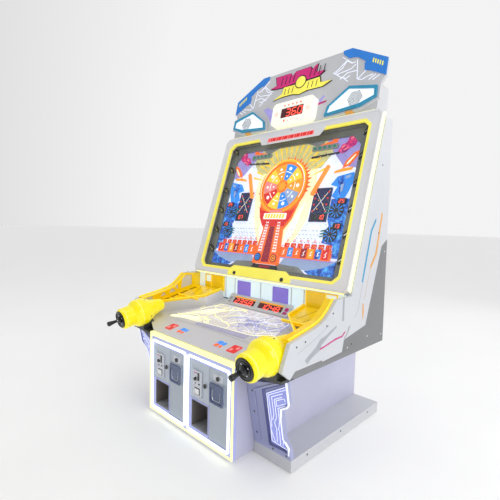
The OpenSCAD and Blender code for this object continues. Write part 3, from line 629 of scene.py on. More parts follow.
for s, hand in HANDS:
    Batch(hand + "_wing_rim", TRACE, WING, bevel=0.8).line(
        on_side(s, [(595, 392), (596, 286), (586, 270), (547, 246), (541, 184), (541, 97), (566, 62),
                    (563, 22)]), 7, -4, 2.5).make()
    lines = Batch(hand + "_wing_traces", TRACE, WING)
    for pts, w in (([(586, 366), (472, 296), (469, 193), (472, 126), (468, 54), (556, 46)], 5),
                   ([(584, 352), (482, 292), (482, 179), (478, 130)], 4),
                   ([(566, 328), (499, 289), (500, 202), (488, 168)], 4.5),
                   ([(561, 310), (514, 282), (514, 192), (498, 160), (506, 132), (501, 62)], 5),
                   ([(576, 292), (572, 306), (524, 280), (524, 252), (576, 284)], 4),
                   ([(573, 272), (530, 244), (529, 178), (518, 134), (522, 124), (519, 56)], 5),
                   ([(470, 126), (476, 96), (489, 56)], 4), ([(541, 100), (534, 60)], 4)):
        lines.line(on_side(s, pts), w * 0.62, -4, -2.4)
    lines.make()
    Batch(hand + "_wing_shadow_gap", VIOLET_DARK, WING).line(
        on_side(s, [(584, 384), (452, 312), (452, 40), (560, 33)]), 9, -0.3, 0.25).make()
    Batch(hand + "_wing_frame_trim", WING_GREY, WING, bevel=1).line(
        on_side(s, [(560, 378), (400, 292), (398, 30)]), 9, 0, 6).make()
    places = ((378, 60), (380, 171), (384, 280), (470, 14), (548, 14))
    screws(hand + "_wing_screws", [(WING, s * x, y, 0) for x, y in places], 5)
PLINTH_SIDES = [local_frame((s * 573, 0, 0), (0, s, 0), (0, 0, 1), (s, 0, 0)) for s in (1, -1)]
screws("plinth_screws", [(m, s * y, 40, 0) for m, s in zip(PLINTH_SIDES, (1, -1)) for y in (260, 550, 840)],
       5)

# ---------------------------------------------------------------- side panels

for s, hand in HANDS:
    side = side_frame(s)
    Batch(hand + "_magenta_stripe", MAGENTA_DECAL, side).poly([(262, 540), (300, 546), (385, 560),
        (449, 563), (474, 581), (470, 588), (446, 571), (383, 568), (300, 553), (262, 549)], 0, 0.6).make()
    Batch(hand + "_cyan_stripe", CYAN_DECAL, side).poly([(742, 1140), (745, 1122), (704, 1070), (629, 808),
        (616, 812), (640, 900), (690, 1076)], 0, 0.6).make()
    orange = Batch(hand + "_orange_stripes", ORANGE_DECAL, side)
    orange.poly([(803, 1168), (817, 1168), (815, 1150), (768, 948), (706, 872), (700, 890), (752, 956)],
                0, 0.6)
    orange.poly([(636, 700), (646, 700), (652, 655), (645, 612), (636, 650)], 0, 0.6)
    orange.line([(706, 880), (676, 800), (650, 720)], 1.6, 0, 0.5)
    orange.make()
    grey = Batch(hand + "_grey_marks", GREY_DECAL, side)
    grey.poly([(442, 640), (456, 640), (456, 752), (442, 752)], 0, 0.5)
    grey.poly([(150, 520), (230, 560), (262, 590), (300, 596), (390, 628), (394, 620), (310, 582),
               (270, 560), (262, 540), (200, 520), (168, 500)], 0, 0.5)
    grey.poly([(505, 604), (520, 606), (500, 572), (470, 548), (462, 552), (492, 578)], 0, 0.5)
    grey.line([(560, 640), (590, 672), (600, 700)], 1.6, 0, 0.5)
    grey.line([(598, 700), (640, 860), (655, 930)], 1.4, 0, 0.5)
    grey.line([(100, 560), (240, 606), (330, 640)], 1.2, 0, 0.5)
    grey.make()
    dots = [(150, 600), (310, 640), (360, 690), (90, 590), (540, 510), (780, 1060), (790, 1420)]
    screws(hand + "_side_screws", [(side, y, z, 0) for y, z in dots], 4.5)
    corners = [(500, 500), (860, 500), (860, 960), (700, 520)]
    screws(hand + "_corner_screws", [(side, y, z, 0) for y, z in corners], 5, material=STEEL)
    Batch(hand + "_door_edge_light", GLOW_CREAM, SLOPE, "glazed_door", bevel=2).rect(
        s * (DOOR_HALF + 0.2), 12, s * (DOOR_HALF + 7), DOOR_LEN - 14, -DOOR_T + 3, -6).make()
    Batch(hand + "_door_edge_line", GLOW_YELLOW, SLOPE, "glazed_door").rect(
        s * (DOOR_HALF + 7), 14, s * (DOOR_HALF + 8.5), DOOR_LEN - 16, -17, -11).make()

# ---------------------------------------------------------------- glazed door

INNER_X, INNER_LOW, INNER_TOP = DOOR_HALF - 56, 40, DOOR_LEN - 45


def cut_outline(x, low, top, c):
    return [(-x + c, low), (x - c, low), (x, low + c), (x, top - c), (x - c, top), (-x + c, top),
            (-x, top - c), (-x, low + c)]


stripe = Batch("door_inner_stripe", TRIM_YELLOW, SLOPE, "glazed_door", bevel=1)
stripe.band(cut_outline(INNER_X - 0.5, INNER_LOW + 0.5, INNER_TOP - 0.5, 36),
            cut_outline(INNER_X - 11, INNER_LOW + 11, INNER_TOP - 11, 32), -13.5, -0.5)
stripe.band(cut_outline(INNER_X + 5, INNER_LOW - 5, INNER_TOP + 5, 38),
            cut_outline(INNER_X, INNER_LOW, INNER_TOP, 36), 0, 1.2)
stripe.make(replaces=["door_trim"], slot="lit_yellow")
Batch("door_bottom_trim", TRIM_YELLOW, SLOPE, "glazed_door", bevel=0.8).poly(
    [(-256, 4), (256, 4), (256, 42), (212, 70), (-212, 70), (-256, 42)], 1.3, 3).make()
Batch("door_top_tab", DOOR_WHITE, SLOPE, "glazed_door", bevel=1).poly(
    [(-268, 970), (268, 970), (262, 946), (232, 905), (-232, 905), (-262, 946)], 1.3, 4).make()
label = Batch("door_top_label", INK["red"], SLOPE, "glazed_door")
for i in range(22):
    x = -176 + i * 16.4
    label.poly([(x, 922), (x + 9 + 4 * (i % 3), 922), (x + 13 + 4 * (i % 3), 944), (x + 4, 944)], 4, 4.6)
label.make()
Batch("door_top_label_back", INK["pink"], SLOPE, "glazed_door").rect(-184, 918, 186, 948, 3.9, 4.2).make()
Batch("door_outer_rim", DOOR_WHITE, SLOPE, "glazed_door", bevel=1.2).band(
    cut_outline(DOOR_HALF - 1, 1, DOOR_LEN - 1, 21), cut_outline(DOOR_HALF - 10, 10, DOOR_LEN - 10, 19), 0,
    3).make()
Batch("door_foot_light", GLOW_YELLOW, SLOPE, "glazed_door", bevel=1).rect(
    -DOOR_HALF + 26, -5, DOOR_HALF - 26, -0.4, -24, -4).make()
for s, hand in HANDS:
    key = Batch(hand + "_frame_keyhole", BLACK, SLOPE, hand + "_frame_lock")
    key.disc(s * 194, 20.5, 5, 6.4, 7)
    key.rect(s * 194 - 1, 14, s * 194 + 1, 27, 7, 7.3)
    key.make()
Batch("door_top_lock", CHROME, SLOPE, "glazed_door", bevel=0.4).ring(0, 984, 8, 5, 0, 3.5).make()

# ---------------------------------------------------------------- playfield

# Heights: face of the printed sheet, of the score panels, of tower and pockets, of the lane bumpers
ART = PLAY_Z + 0.4
PANEL_Z = PLAY_Z + 9
TOP = PLAY_Z + 20
LANE_Z = PLAY_Z + 22


def ink(name, color, bevel=0.0):
    return Batch("play_" + name, INK[color], SLOPE, bevel=bevel)


ink("field_top", "khaki").poly(
    [(-330, 905), (330, 905), (310, 800), (250, 720), (-250, 720), (-310, 800)], PLAY_Z, ART).make()
ink("field_glow", "cream").poly(
    [(-236, 720), (236, 720), (246, 600), (232, 400), (190, 300), (150, 240), (-120, 240), (-150, 300),
     (-200, 420), (-240, 600)], PLAY_Z, ART).make()
field = ink("field_lit_core", "white")
field.poly([(96, 240), (150, 300), (172, 400), (196, 520), (150, 440), (104, 340), (84, 240)],
           ART, ART + 0.4)
field.poly([(-96, 240), (-120, 300), (-130, 400), (-150, 470), (-120, 420), (-92, 340), (-84, 240)],
           ART, ART + 0.4)
field.make()
ticks = ink("pin_row_marks", "navy")
for s in (-1, 1):
    for row in range(5):
        for i in range(9):
            x, y = s * (112 + i * 26 + (row % 2) * 12), 236 + row * 24
            ticks.line([(x - 6, y + 2), (x + 6, y - 2)], 2.2, ART + 0.4, ART + 1)
    for i in range(14):
        a = math.radians(70 - i * 9)
        x, y = s * (176 + 40 * math.cos(a) + i * 2), 640 + 150 * math.sin(a)
        if abs(x) < 236:
            ticks.line([(x - 5, y), (x + 5, y - 3)], 2, ART + 0.4, ART + 1)
ticks.make()
rays = ink("sun_rays", "yellow")
for i in range(17):
    a = math.radians(18 + i * 9)
    b = a + math.radians(3.4)
    r0, r1 = 196, 300
    top = 904
    pts = [(r0 * math.cos(a), HUB_T + r0 * math.sin(a)),
           (r1 * math.cos(a), min(top, HUB_T + r1 * math.sin(a))),
           (r1 * math.cos(b), min(top, HUB_T + r1 * math.sin(b)))]
    rays.poly(pts, ART, ART + 0.5)
rays.make()
sparks = ink("ring_flames", "orange")
for i in range(26):
    a = math.radians(-10 + i * 8)
    r0 = WHEEL_R + 27
    r1 = r0 + (30 if i % 2 else 18)
    w = math.radians(2.4)
    sparks.poly([(r0 * math.cos(a - w), HUB_T + r0 * math.sin(a - w)),
                 (r1 * math.cos(a), HUB_T + r1 * math.sin(a)),
                 (r0 * math.cos(a + w), HUB_T + r0 * math.sin(a + w))], ART + 0.5, ART + 5)
sparks.make()

# the spinning wheel face
WHEEL_Z = PLAY_Z + 17
SECTOR_INKS = ["yellow", "sky", "gold", "yellow", "pink", "red", "yellow", "sky", "ice", "gold"]
faces = {}
for i in range(10):
    faces.setdefault(SECTOR_INKS[i], []).append(i)
for color, ids in faces.items():
    b = Batch("wheel_sectors_" + color, INK[color], SLOPE, "prize_wheel", bevel=0.4)
    for i in ids:
        a = 18 + i * 36
        b.sector(0, HUB_T, 44, 150, a + 0.6, a + 35.4, WHEEL_Z, WHEEL_Z + 1.6, 10)
    b.make()
inner = Batch("wheel_inner_arcs", INK["white"], SLOPE, "prize_wheel", bevel=0.3)
for i in range(10):
    a = 18 + i * 36
    inner.sector(0, HUB_T, 96, 101, a + 4, a + 32, WHEEL_Z + 1.6, WHEEL_Z + 2.4, 8)
    c = math.radians(a + 18)
    inner.disc(122 * math.cos(c), HUB_T + 122 * math.sin(c),
               12 if i % 2 else 9, WHEEL_Z + 1.6, WHEEL_Z + 2.6, 20)
    inner.disc(70 * math.cos(c), HUB_T + 70 * math.sin(c), 6, WHEEL_Z + 1.6, WHEEL_Z + 2.4, 16)
inner.make()
Batch("wheel_hub_fan", INK["orange"], SLOPE, "prize_wheel", bevel=0.5).disc(
    0, HUB_T, 40, WHEEL_Z + 1, WHEEL_Z + 4, 40).make()
blades = Batch("wheel_hub_blades", INK["gold"], SLOPE, "prize_wheel", bevel=0.3)
for i in range(8):
    a = i * 45
    blades.sector(0, HUB_T, 10, 35, a, a + 20, WHEEL_Z + 4, WHEEL_Z + 5.4, 4)
blades.make()
ink("wheel_collar", "gold", 1).ring(0, HUB_T, WHEEL_R + 27, WHEEL_R + 8, TOP, TOP + 3, 96).make()
# white arcs on the collar: painted highlights on the glossy ring
collar = ink("wheel_collar_highlights", "white", 0.4)
collar.sector(0, HUB_T, WHEEL_R + 12, WHEEL_R + 17, -28, 62, TOP + 3, TOP + 4.4, 24)
collar.sector(0, HUB_T, WHEEL_R + 12, WHEEL_R + 15, 118, 208, TOP + 3, TOP + 4.4, 24)
collar.make()
ink("wheel_crest", "yellow", 0.6).sector(
    0, HUB_T, WHEEL_R + 18, WHEEL_R + 26, 20, 160, TOP + 3, TOP + 5, 40).make()

# centre tower: flared head, sign, two ladders and the end lamps
ink("tower_head", "red", 1).poly(
    [(-150, 478), (-118, 452), (-60, 442), (0, 438), (60, 442), (118, 452), (150, 478), (124, 402),
     (88, 348), (-88, 348), (-124, 402)], TOP, TOP + 2).make()
ink("tower_sign", "white", 0.8).poly(rounded(-92, 392, 92, 432, 6), TOP + 2, TOP + 4).make()
bars = ink("tower_sign_bars", "yellow")
for i in range(7):
    bars.poly([(-80 + i * 23, 398), (-64 + i * 23, 398), (-60 + i * 23, 426), (-76 + i * 23, 426)],
              TOP + 4, TOP + 4.6)
bars.make()
ink("tower_sign_band", "pink", 0.4).poly(
    [(-54, 438), (54, 438), (48, 452), (-48, 452)], TOP + 2, TOP + 3.6).make()
ink("tower_shaft", "crimson", 0.5).poly(
    [(-30, 118), (30, 118), (20, 346), (-20, 346)], TOP, TOP + 1.5).make()
LAMP_X, LAMP_Y = 64, 146
for s, color, tag in ((-1, "navy", "left"), (1, "crimson", "right")):
    ladder = ink(tag + "_ladder", "white", 0.2)
    cells = ink(tag + "_ladder_cells", "lilac" if s < 0 else "pink", 0.2)
    for i in range(11):
        y = 186 + i * 18
        x = s * (62 - (y - 118) * 0.06)
        w = 15 - i * 0.35
        ladder.line([(x - w, y), (x + w, y + 9)], 3.6, TOP, TOP + 2.4)
        ladder.line([(x - w, y + 9), (x + w, y)], 3.6, TOP, TOP + 2.2)
        cells.poly([(x - w, y - 4), (x + w, y - 4), (x + w, y - 1), (x - w, y - 1)], TOP, TOP + 1.8)
    ladder.make()
    cells.make()
    ink(tag + "_end_lamp", color, 0.8).disc(s * LAMP_X, LAMP_Y, 26, TOP, TOP + 3, 28).make()
    cap = ink(tag + "_end_cap", "sky" if s < 0 else "gold", 0.5)
    cap.ring(s * LAMP_X, LAMP_Y, 19, 13, TOP + 3, TOP + 4.4, 28)
    cap.disc(s * LAMP_X, LAMP_Y, 7, TOP + 3, TOP + 4.6, 20)
    cap.make()

# side art, the same on both hands
POCKETS = ["orange", "sky", "orange", "crimson", "gold", "blue", "red"]
for s, hand in HANDS:
    def shape(tag, color, outlines, z0=ART, z1=ART + 1.2, bevel=0.0, s=s, hand=hand):
        b = ink(hand + "_" + tag, color, bevel)
        for pts in outlines:
            b.poly(on_side(s, pts), z0, z1)
        return b.make()

    shape("lilac_sky", "lilac", [[(250, 905), (420, 905), (488, 850), (488, 700), (400, 720), (330, 800)]])
    shape("gun", "magenta", [[(350, 812), (372, 852), (398, 858), (410, 888), (404, 904), (440, 912),
        (474, 914), (484, 880), (462, 868), (452, 838), (424, 826), (404, 806), (380, 796)]],
          ART + 1, ART + 9, 1)
    shape("gun_marks", "pink", [[(372, 838), (396, 846), (392, 838), (372, 828)], [(420, 884), (458, 898),
        (454, 888), (420, 874)], [(388, 818), (420, 830), (416, 822), (388, 810)]], ART + 9, ART + 10)
    shape("bolt", "orange", [[(214, 868), (300, 886), (296, 902), (372, 928), (330, 890), (336, 876),
        (232, 856)]], ART + 1, ART + 7, 0.8)
    shape("rail", "grey", [rounded(164, 832, 346, 864, 8, 4)], ART + 1, ART + 10, 1.2)
    shape("strip", "dark", [[(172, 786), (356, 798), (362, 806), (176, 796)]], ART + 1, ART + 12, 0.6)
    shape("yellow_step", "yellow", [[(160, 770), (196, 774), (206, 784), (160, 780)]],
          ART + 1, ART + 9, 0.6)
    lamps = ink(hand + "_rail_lamps", "green", 0.6)
    for i in range(5):
        lamps.disc(s * (186 + i * 34), 848, 9, ART + 10, ART + 13, 20)
    lamps.make()
    shape("rocket", "orange", [[(404, 704), (446, 720), (486, 776), (490, 800), (458, 786), (420, 744)]],
          ART + 1, ART + 12, 1.5)
    shape("rocket_shine", "cream", [[(424, 716), (444, 728), (476, 774), (470, 776), (436, 740)]],
          ART + 12, ART + 13)
    shape("rocket_base", "gold", [[(352, 676), (462, 690), (468, 704), (404, 702), (356, 688)]],
          ART + 1, ART + 7, 0.8)
    shape("canister", "sky", [[(352, 604), (386, 652), (484, 672), (489, 620), (470, 560), (452, 520),
        (400, 516), (372, 534), (398, 590)]], ART + 1, ART + 11, 2)
    shape("canister_shade", "blue", [[(386, 640), (420, 656), (446, 610), (430, 530), (412, 526),
        (410, 590)]], ART + 11, ART + 12.5, 0.5)
    shape("canister_shine", "ice", [[(440, 650), (472, 656), (470, 640), (440, 632)], [(420, 600),
        (440, 606), (436, 560), (424, 556)]], ART + 12.5, ART + 13.4)
    shape("housing", "blue", [[(372, 520), (489, 520), (489, 180), (448, 180), (440, 250), (366, 262),
        (372, 330), (390, 360), (372, 400), (372, 470)]], ART, ART + 3, 0.5)
    for k, (x, y) in enumerate(((421, 449), (412, 311))):
        ink("%s_fan_%d" % (hand, k), "dark", 0.6).disc(s * x, y, 44, ART + 3, ART + 9, 36).make()
        vane = ink("%s_fan_vanes_%d" % (hand, k), "sky", 0.3)
        for i in range(11):
            vane.sector(s * x, y, 14, 41, i * 32.7, i * 32.7 + 9, ART + 9, ART + 11, 3)
        vane.make()
        jet = ink("%s_fan_teal_%d" % (hand, k), "teal", 0.3)
        for i in range(3):
            jet.poly(on_side(s, [(348, y + 20 - i * 16), (378, y + 28 - i * 16), (378, y + 20 - i * 16),
                                 (348, y + 14 - i * 16)]), ART + 4, ART + 10)
        jet.make()
        window = ink("%s_mini_window_%d" % (hand, k), "dark", 0.4)
        wy = (503, 358)[k]
        window.rect(s * 420, wy - 17, s * 470, wy + 17, ART + 3, ART + 13)
        window.make()
        led = Batch("play_%s_mini_led_%d" % (hand, k), RED_LED, SLOPE)
        digits(led, ("25", "13")[k], (s * 445) - 17, wy - 10, 12, 20, 8, ART + 13, ART + 13.6)
        led.make()
    # navy score panel, its crossed lines and dots
    cross = ink(hand + "_panel_lines", "white", 0.1)
    cross.line(on_side(s, [(262, 440), (356, 572)]), 2.2, PANEL_Z, PANEL_Z + 1)
    cross.line(on_side(s, [(262, 572), (356, 440)]), 2.2, PANEL_Z, PANEL_Z + 1)
    cross.make()
    dot = ink(hand + "_panel_dots", "red", 0.1)
    spot = ink(hand + "_panel_spots", "gold", 0.1)
    for i in range(4):
        for j in (0, 1):
            dot.disc(s * (266 + j * 84), 448 + i * 38, 6, PANEL_Z, PANEL_Z + 1.4, 14)
        spot.disc(s * (292 + (i % 2) * 36), 460 + i * 26, 4, PANEL_Z, PANEL_Z + 1.4, 14)
    dot.make()
    spot.make()
    ink(hand + "_panel_window", "dark", 0.3).rect(s * 262, 392, s * 356, 428, PANEL_Z, PANEL_Z + 2).make()
    led = Batch("play_%s_panel_led" % hand, RED_LED, SLOPE)
    digits(led, "07" if s < 0 else "10", s * 309 - 12 + (14 if s > 0 else -14),
           398, 14, 24, 8, PANEL_Z + 2, PANEL_Z + 2.6)
    led.make()
    # number lamps and rings above the pockets
    plates = ink(hand + "_number_plates", "red", 0.4)
    marks = ink(hand + "_number_marks", "gold")
    rings = ink(hand + "_number_rings", "red", 0.2)
    for i in range(7):
        x = s * (131 + i * 48)
        plates.poly(rounded(x - 18, 224, x + 18, 252, 4, 3), ART, ART + 3)
        digits(marks, "%02d" % ((i * 7 + 11) % 60), x - 11, 230, 8, 15, 5, ART + 3, ART + 3.5, 0)
        rings.ring(x, 268, 8, 5, ART, ART + 2, 18)
    plates.make()
    marks.make()
    rings.make()
    for i, color in enumerate(POCKETS):
        x0 = 110 + i * 48
        ink("%s_pocket_%d" % (hand, i), color, 0.6).rect(
            s * (x0 + 1), 165, s * (x0 + 41), 220, PLAY_Z + 4.1, TOP).make()
        mark = ink("%s_pocket_mark_%d" % (hand, i), "white", 0.2)
        x = s * (x0 + 21)
        mark.line([(x - 7, 176 + (i % 3) * 3), (x + 5, 184), (x - 3, 194), (x + 8, 206)],
                  4.2, TOP, TOP + 0.6)
        mark.make()
    # trough and corner at the foot
    shape("trough", "ice", [[(106, 118), (130, 156), (486, 156), (486, 120), (330, 96), (170, 108)]],
          ART, ART + 5, 1)
    shape("trough_edge", "lilac", [[(106, 156), (486, 156), (486, 163), (106, 163)]], ART, ART + 12, 1)
    shape("corner", "blue", [[(300, 92), (420, 122), (489, 160), (489, 77), (330, 77)]],
          ART + 5, ART + 14, 1.5)
    shape("corner_edge", "ice", [[(300, 92), (420, 122), (489, 160), (489, 168), (416, 130), (298, 100)]],
          ART + 5, ART + 15, 0.6)
    # dark lane furniture
    lane = Batch("play_%s_lane_bumpers" % hand, BLACK, SLOPE, bevel=1.5)
    # chrome lines on the black bumpers: painted highlights
    shine = Batch("play_%s_lane_shine" % hand, CHROME, SLOPE, bevel=0.4)
    for y in (905, 760, 600, 455, 310, 170):
        lane.poly(on_side(s, [(500, y - 22), (548, y + 12), (552, y + 34), (520, y + 30), (500, y + 6)]),
                  LANE_Z - 10, LANE_Z)
        shine.line(on_side(s, [(506, y - 6), (544, y + 22)]), 3, LANE_Z, LANE_Z + 1)
    lane.make()
    shine.make()
    ink(hand + "_top_panel", "grey", 1).poly(
        on_side(s, [(120, 905), (250, 905), (236, 880), (206, 868), (170, 872), (128, 890)]), ART,
        ART + 6).make()

ink("gutter", "grey", 1).poly(
    [(-300, 78), (300, 78), (250, 112), (104, 118), (78, 100), (-78, 100), (-104, 118), (-250, 112)], ART,
    ART + 8).make()
ink("gutter_plate", "dark", 1).poly(
    [(-110, 80), (110, 80), (92, 104), (-92, 104)], ART + 8, ART + 12).make()
ink("gutter_mark", "crimson", 0.3).poly(rounded(-44, 84, 44, 98, 4, 3), ART + 12, ART + 13).make()

# ---------------------------------------------------------------- console

DECK_CREAM = surface("deck_sheet", (0.68, 0.66, 0.70), 0.25, vary=0.08, scale=6, coat=0.4, glow=0.2,
                     glow_color=(1, 0.95, 0.9))
Batch("deck_lit_sheet", DECK_CREAM, DECK, bevel=0.6).poly(
    [(-300, 224), (214, 238), (330, 292), (322, 396), (236, 480), (-240, 486), (-330, 400), (-420, 240)],
    0.1, 1.2).make()
patch = Batch("deck_lilac_patches", INK["mist"], DECK)
patch.poly([(-180, 188), (-20, 190), (214, 196), (214, 234), (-40, 226), (-180, 214)], 1.2, 2.6)
patch.poly([(40, 300), (190, 330), (160, 392), (60, 372)], 1.2, 1.5)
patch.make()
patch = Batch("deck_cream_patches", GLOW_CREAM, DECK)
patch.poly([(-440, 190), (-340, 214), (-200, 232), (-230, 262), (-330, 250), (-436, 212)], 1.2, 1.5)
patch.poly([(-330, 290), (-200, 330), (-150, 420), (-240, 400), (-300, 340)], 1.2, 1.5)
patch.make()


def lightning(batch, rng, start, way, steps, width, forks=2):
    """Branching zigzag on the deck, thinning at every fork."""
    x, y = start
    pts = [(x, y)]
    for i in range(steps):
        turn = rng.uniform(-0.75, 0.75)
        length = rng.uniform(26, 58)
        x += length * math.cos(way + turn)
        y += length * math.sin(way + turn)
        x, y = max(-420, min(330, x)), max(236, min(470, y))
        pts.append((x, y))
        if forks and i % 2:
            lightning(batch, rng, (x, y), way + rng.choice((-0.9, 0.9)), steps - i, width * 0.6, forks - 1)
    for a, b in zip(pts, pts[1:]):
        if math.hypot(b[0] - a[0], b[1] - a[1]) > 4:
            batch.line([a, b], width, 1.2, 2.0)


rng = random.Random(11)
BOLT_GROUPS = [
    ("deck_yellow_bolts", GLOW_YELLOW, [(-420, 236, 0.3), (-380, 250, 0.1), (-300, 330, 0.2)]),
    ("deck_white_bolts", DECK_GLOW, [(-180, 300, 0.3), (0, 280, 0.2), (60, 330, 0.1), (-60, 420, -0.2),
                                     (150, 260, 0.5), (120, 420, -0.4)]),
    ("deck_violet_bolts", VIOLET, [(-60, 330, 0.2), (40, 270, 0.3), (100, 380, 0)])]
for name, mat, starts in BOLT_GROUPS:
    flash = Batch(name, mat, DECK)
    for x, y, way in starts:
        lightning(flash, rng, (x, y), way, 7, 4.6)
    flash.make()
Batch("deck_step", WHITE, DECK, bevel=1).poly(
    [(-392, 176), (392, 176), (392, 182), (-392, 182)], 0, 2.4).make()
Batch("deck_step_edge", GLOW_CREAM, DECK).line(
    [(-430, 190), (-330, 213), (-186, 220), (214, 238), (330, 290), (392, 300)], 4, 0, 2.6).make()
for s, hand in HANDS:
    rx, bx = (248, 146) if s > 0 else (-280, -172)
    for tag_name, mat, shapes in (
            ("red_sticker", INK["red"], [(rx - 30, 62, rx + 30, 128, 9)]),
            ("blue_sticker", INK["sky"], [(bx - 28, 66, bx + 4, 122, 9), (bx + 8, 92, bx + 30, 120, 8)]),
            ("sticker_orange", INK["orange"], [(bx - 26, 66, bx + 2, 92, 8), (bx + 10, 66, bx + 28, 88, 8)]),
            ("sticker_pink", INK["pink"], [(rx - 22, 74, rx - 4, 96, 7), (rx + 4, 96, rx + 22, 118, 7)])):
        tag = Batch(hand + "_" + tag_name, mat, DECK)
        for x0, y0, x1, y1, r in shapes:
            z = 0.7 if "sticker_" in tag_name else 0
            tag.poly(rounded(x0, y0, x1, y1, r), z, z + 0.7)
        tag.make()
Batch("deck_post", CHROME, DECK @ Matrix.Translation((-110, 190, 0))).lathe(
    [(0, 0), (7, 0), (7, 3), (2.2, 5), (2.2, 38), (4, 40), (0, 42)], 20).make(smooth=50)

windows = Batch("console_led_windows", LED_WINDOW, DISPLAY, bevel=0.6)
amber = Batch("console_led_strips", INK["gold"], DISPLAY)
leds = Batch("console_led_digits", RED_LED, DISPLAY)
for x, text in ((-108, "2358"), (108, "1048")):
    windows.rect(x - 90, 14, x + 90, 56, -4, -0.5)
    amber.rect(x - 90, 58, x + 90, 66, 0, 0.8)
    digits(leds, text, x - 72, 20, 26, 30, 12, -0.5, 0.3)
windows.make()
amber.make()
leds.make()
side_marks = Batch("console_magenta_marks", MAGENTA_DECAL, DISPLAY)
side_marks.poly(rounded(212, 14, 240, 30, 5), 0, 0.8)
side_marks.poly(rounded(216, 34, 242, 58, 8), 0, 0.8)
side_marks.make()
side_marks = Batch("console_grey_marks", GREY_DECAL, DISPLAY)
side_marks.poly(rounded(-240, 14, -212, 30, 5), 0, 0.8)
side_marks.poly(rounded(-242, 34, -216, 58, 8), 0, 0.8)
side_marks.make()
lit = Batch("back_wall_squares", PURPLE_LIT, BACK_WALL, bevel=1)
for x in (-150, 150):
    lit.poly(rounded(x - 60, 36, x + 60, 128, 6), 0, 2)
lit.make()
ribs = Batch("back_wall_ribs", WHITE, BACK_WALL, bevel=0.6)
for x in (-320, -232, -4, 232, 320):
    ribs.rect(x - 3, 4, x + 3, 138, 0, 3)
ribs.make()

# ---------------------------------------------------------------- ball ramps

ARC = [(60, 619), (87, 625), (156, 638), (222, 651), (270, 664), (300, 678), (336, 705), (362, 729),
       (384, 750)]
EDGE = [(556, 200), (500, 255), (340, 407), (332, 551)]
across_x = local_frame((0, 0, 0), (0, 1, 0), (0, 0, 1), (1, 0, 0))
# bright edges along the ramps: painted light
edge = Batch("ramp_edges", AMBER_EDGE)
for s in (-1, 1):
    edge.on(across_x).sweep([(y, z + 1.5, s * (INNER_W - 4)) for y, z in ARC], 4.5, n=8)
    edge.on(across_x).sweep([(y + 2, z - 3, s * (INNER_W - 41)) for y, z in ARC], 3, n=6)
    edge.on(DECK).sweep([(s * (x + 2), t, 75) for x, t in EDGE], 3.2, n=8)
    edge.on(DECK).sweep([(s * 346, 347, 74), (s * 546, 347, 74)], 3, n=8)
    edge.on(DECK).sweep([(s * 424, 340, 64), (s * 486, 292, 64), (s * 498, 340, 64)], 2, n=6)
    edge.on(DECK).sweep([(s * 504, 266, 64), (s * 544, 336, 64), (s * 544, 224, 64), (s * 504, 266, 64)],
                        2, n=6)
edge.make(smooth=60)
# dark strips in the amber ramps: painted shade
shade = Batch("ramp_shade_lines", AMBER_DARK, DECK)
for s in (-1, 1):
    for t in (222, 298, 374, 450):
        shade.rect(s * 550, t, s * 588, t + 66, 58, 59)
    for x0, y0, x1, y1 in ((450, 380, 520, 520), (400, 400, 440, 530)):
        shade.line([(s * x0, y0), (s * x1, y1)], 3, 64, 64.6)
shade.make()
RAMP_BACK = leaning((0, 537, 0), 0)
# bright seams on the ramp back, in the same painted-light edge colour
back = Batch("ramp_back_seams", AMBER_EDGE, RAMP_BACK)
for s in (-1, 1):
    for x in (336, 462):
        back.rect(s * x, 642, s * (x + 5), 741, 0, 1.5)
back.make()

# ---------------------------------------------------------------- launchers

for s, hand in HANDS:
    m = launch_frame(s)
    Batch(hand + "_knob", BLACK, m, hand + "_plunger").lathe(
        [(0, -80), (9, -79.6), (12.6, -77), (13.8, -72), (13, -64), (10.6, -50), (8.9, -36), (8.4, -28),
         (7.6, -25.6), (7.1, -25.4), (7.1, -24)], 40).make(smooth=50, replaces=[hand + "_plunger"],
        slot="black_plastic")
    Batch(hand + "_plunger_rod", CHROME, m, hand + "_plunger").lathe(
        [(0, -26), (6.95, -26), (6.95, 70), (20, 70), (20, 78), (6.95, 78), (6.95, 119), (6, 120),
         (0, 120)], 40).make(smooth=50, replaces=[hand + "_plunger"], slot="steel")
    hub = Batch(hand + "_disc_hub", BLACK, m)
    hub.lathe([(8.2, -15), (14, -14.6), (17, -12), (18.5, -9.2), (20, -8.8), (20, -3.2)], 40)
    hub.lathe([(33, -3.1), (33, -5), (34.5, -5.6), (36, -5), (36, -3.1)], 48)
    hub.lathe([(45, -3.1), (45.4, -4.8), (47, -5.4), (49, -4.4), (49.6, -3)], 56)
    hub.make(smooth=40)
    bolts = [(m @ Matrix.Rotation(math.pi, 4, "X"), 26 * math.cos(a), 26 * math.sin(a),
              3.1) for a in (0.5, 2.07, 3.64, 5.21)]
    screws(hand + "_disc_bolts", bolts, 4.2, material=STEEL)
    seam = Batch(hand + "_shell_bands", TRIM_YELLOW, m)
    seam.lathe([(61.6, 12), (62.6, 14), (62.8, 18), (62.2, 20)], 72)
    seam.lathe([(81.9, 106), (83.0, 108), (83.0, 111), (81.9, 113)], 72)
    seam.make(smooth=50)
    outwards = Matrix.Translation((77.6, 0, 0)) @ Matrix.Rotation(math.pi / 2, 4, "Y")
    screws(hand + "_shell_bolts",
           [(m @ Matrix.Rotation(a, 4, "Z") @ outwards, -158, 0, 0) for a in (-1.2, 0.3, 1.8, 3.3)], 4)

# ---------------------------------------------------------------- header

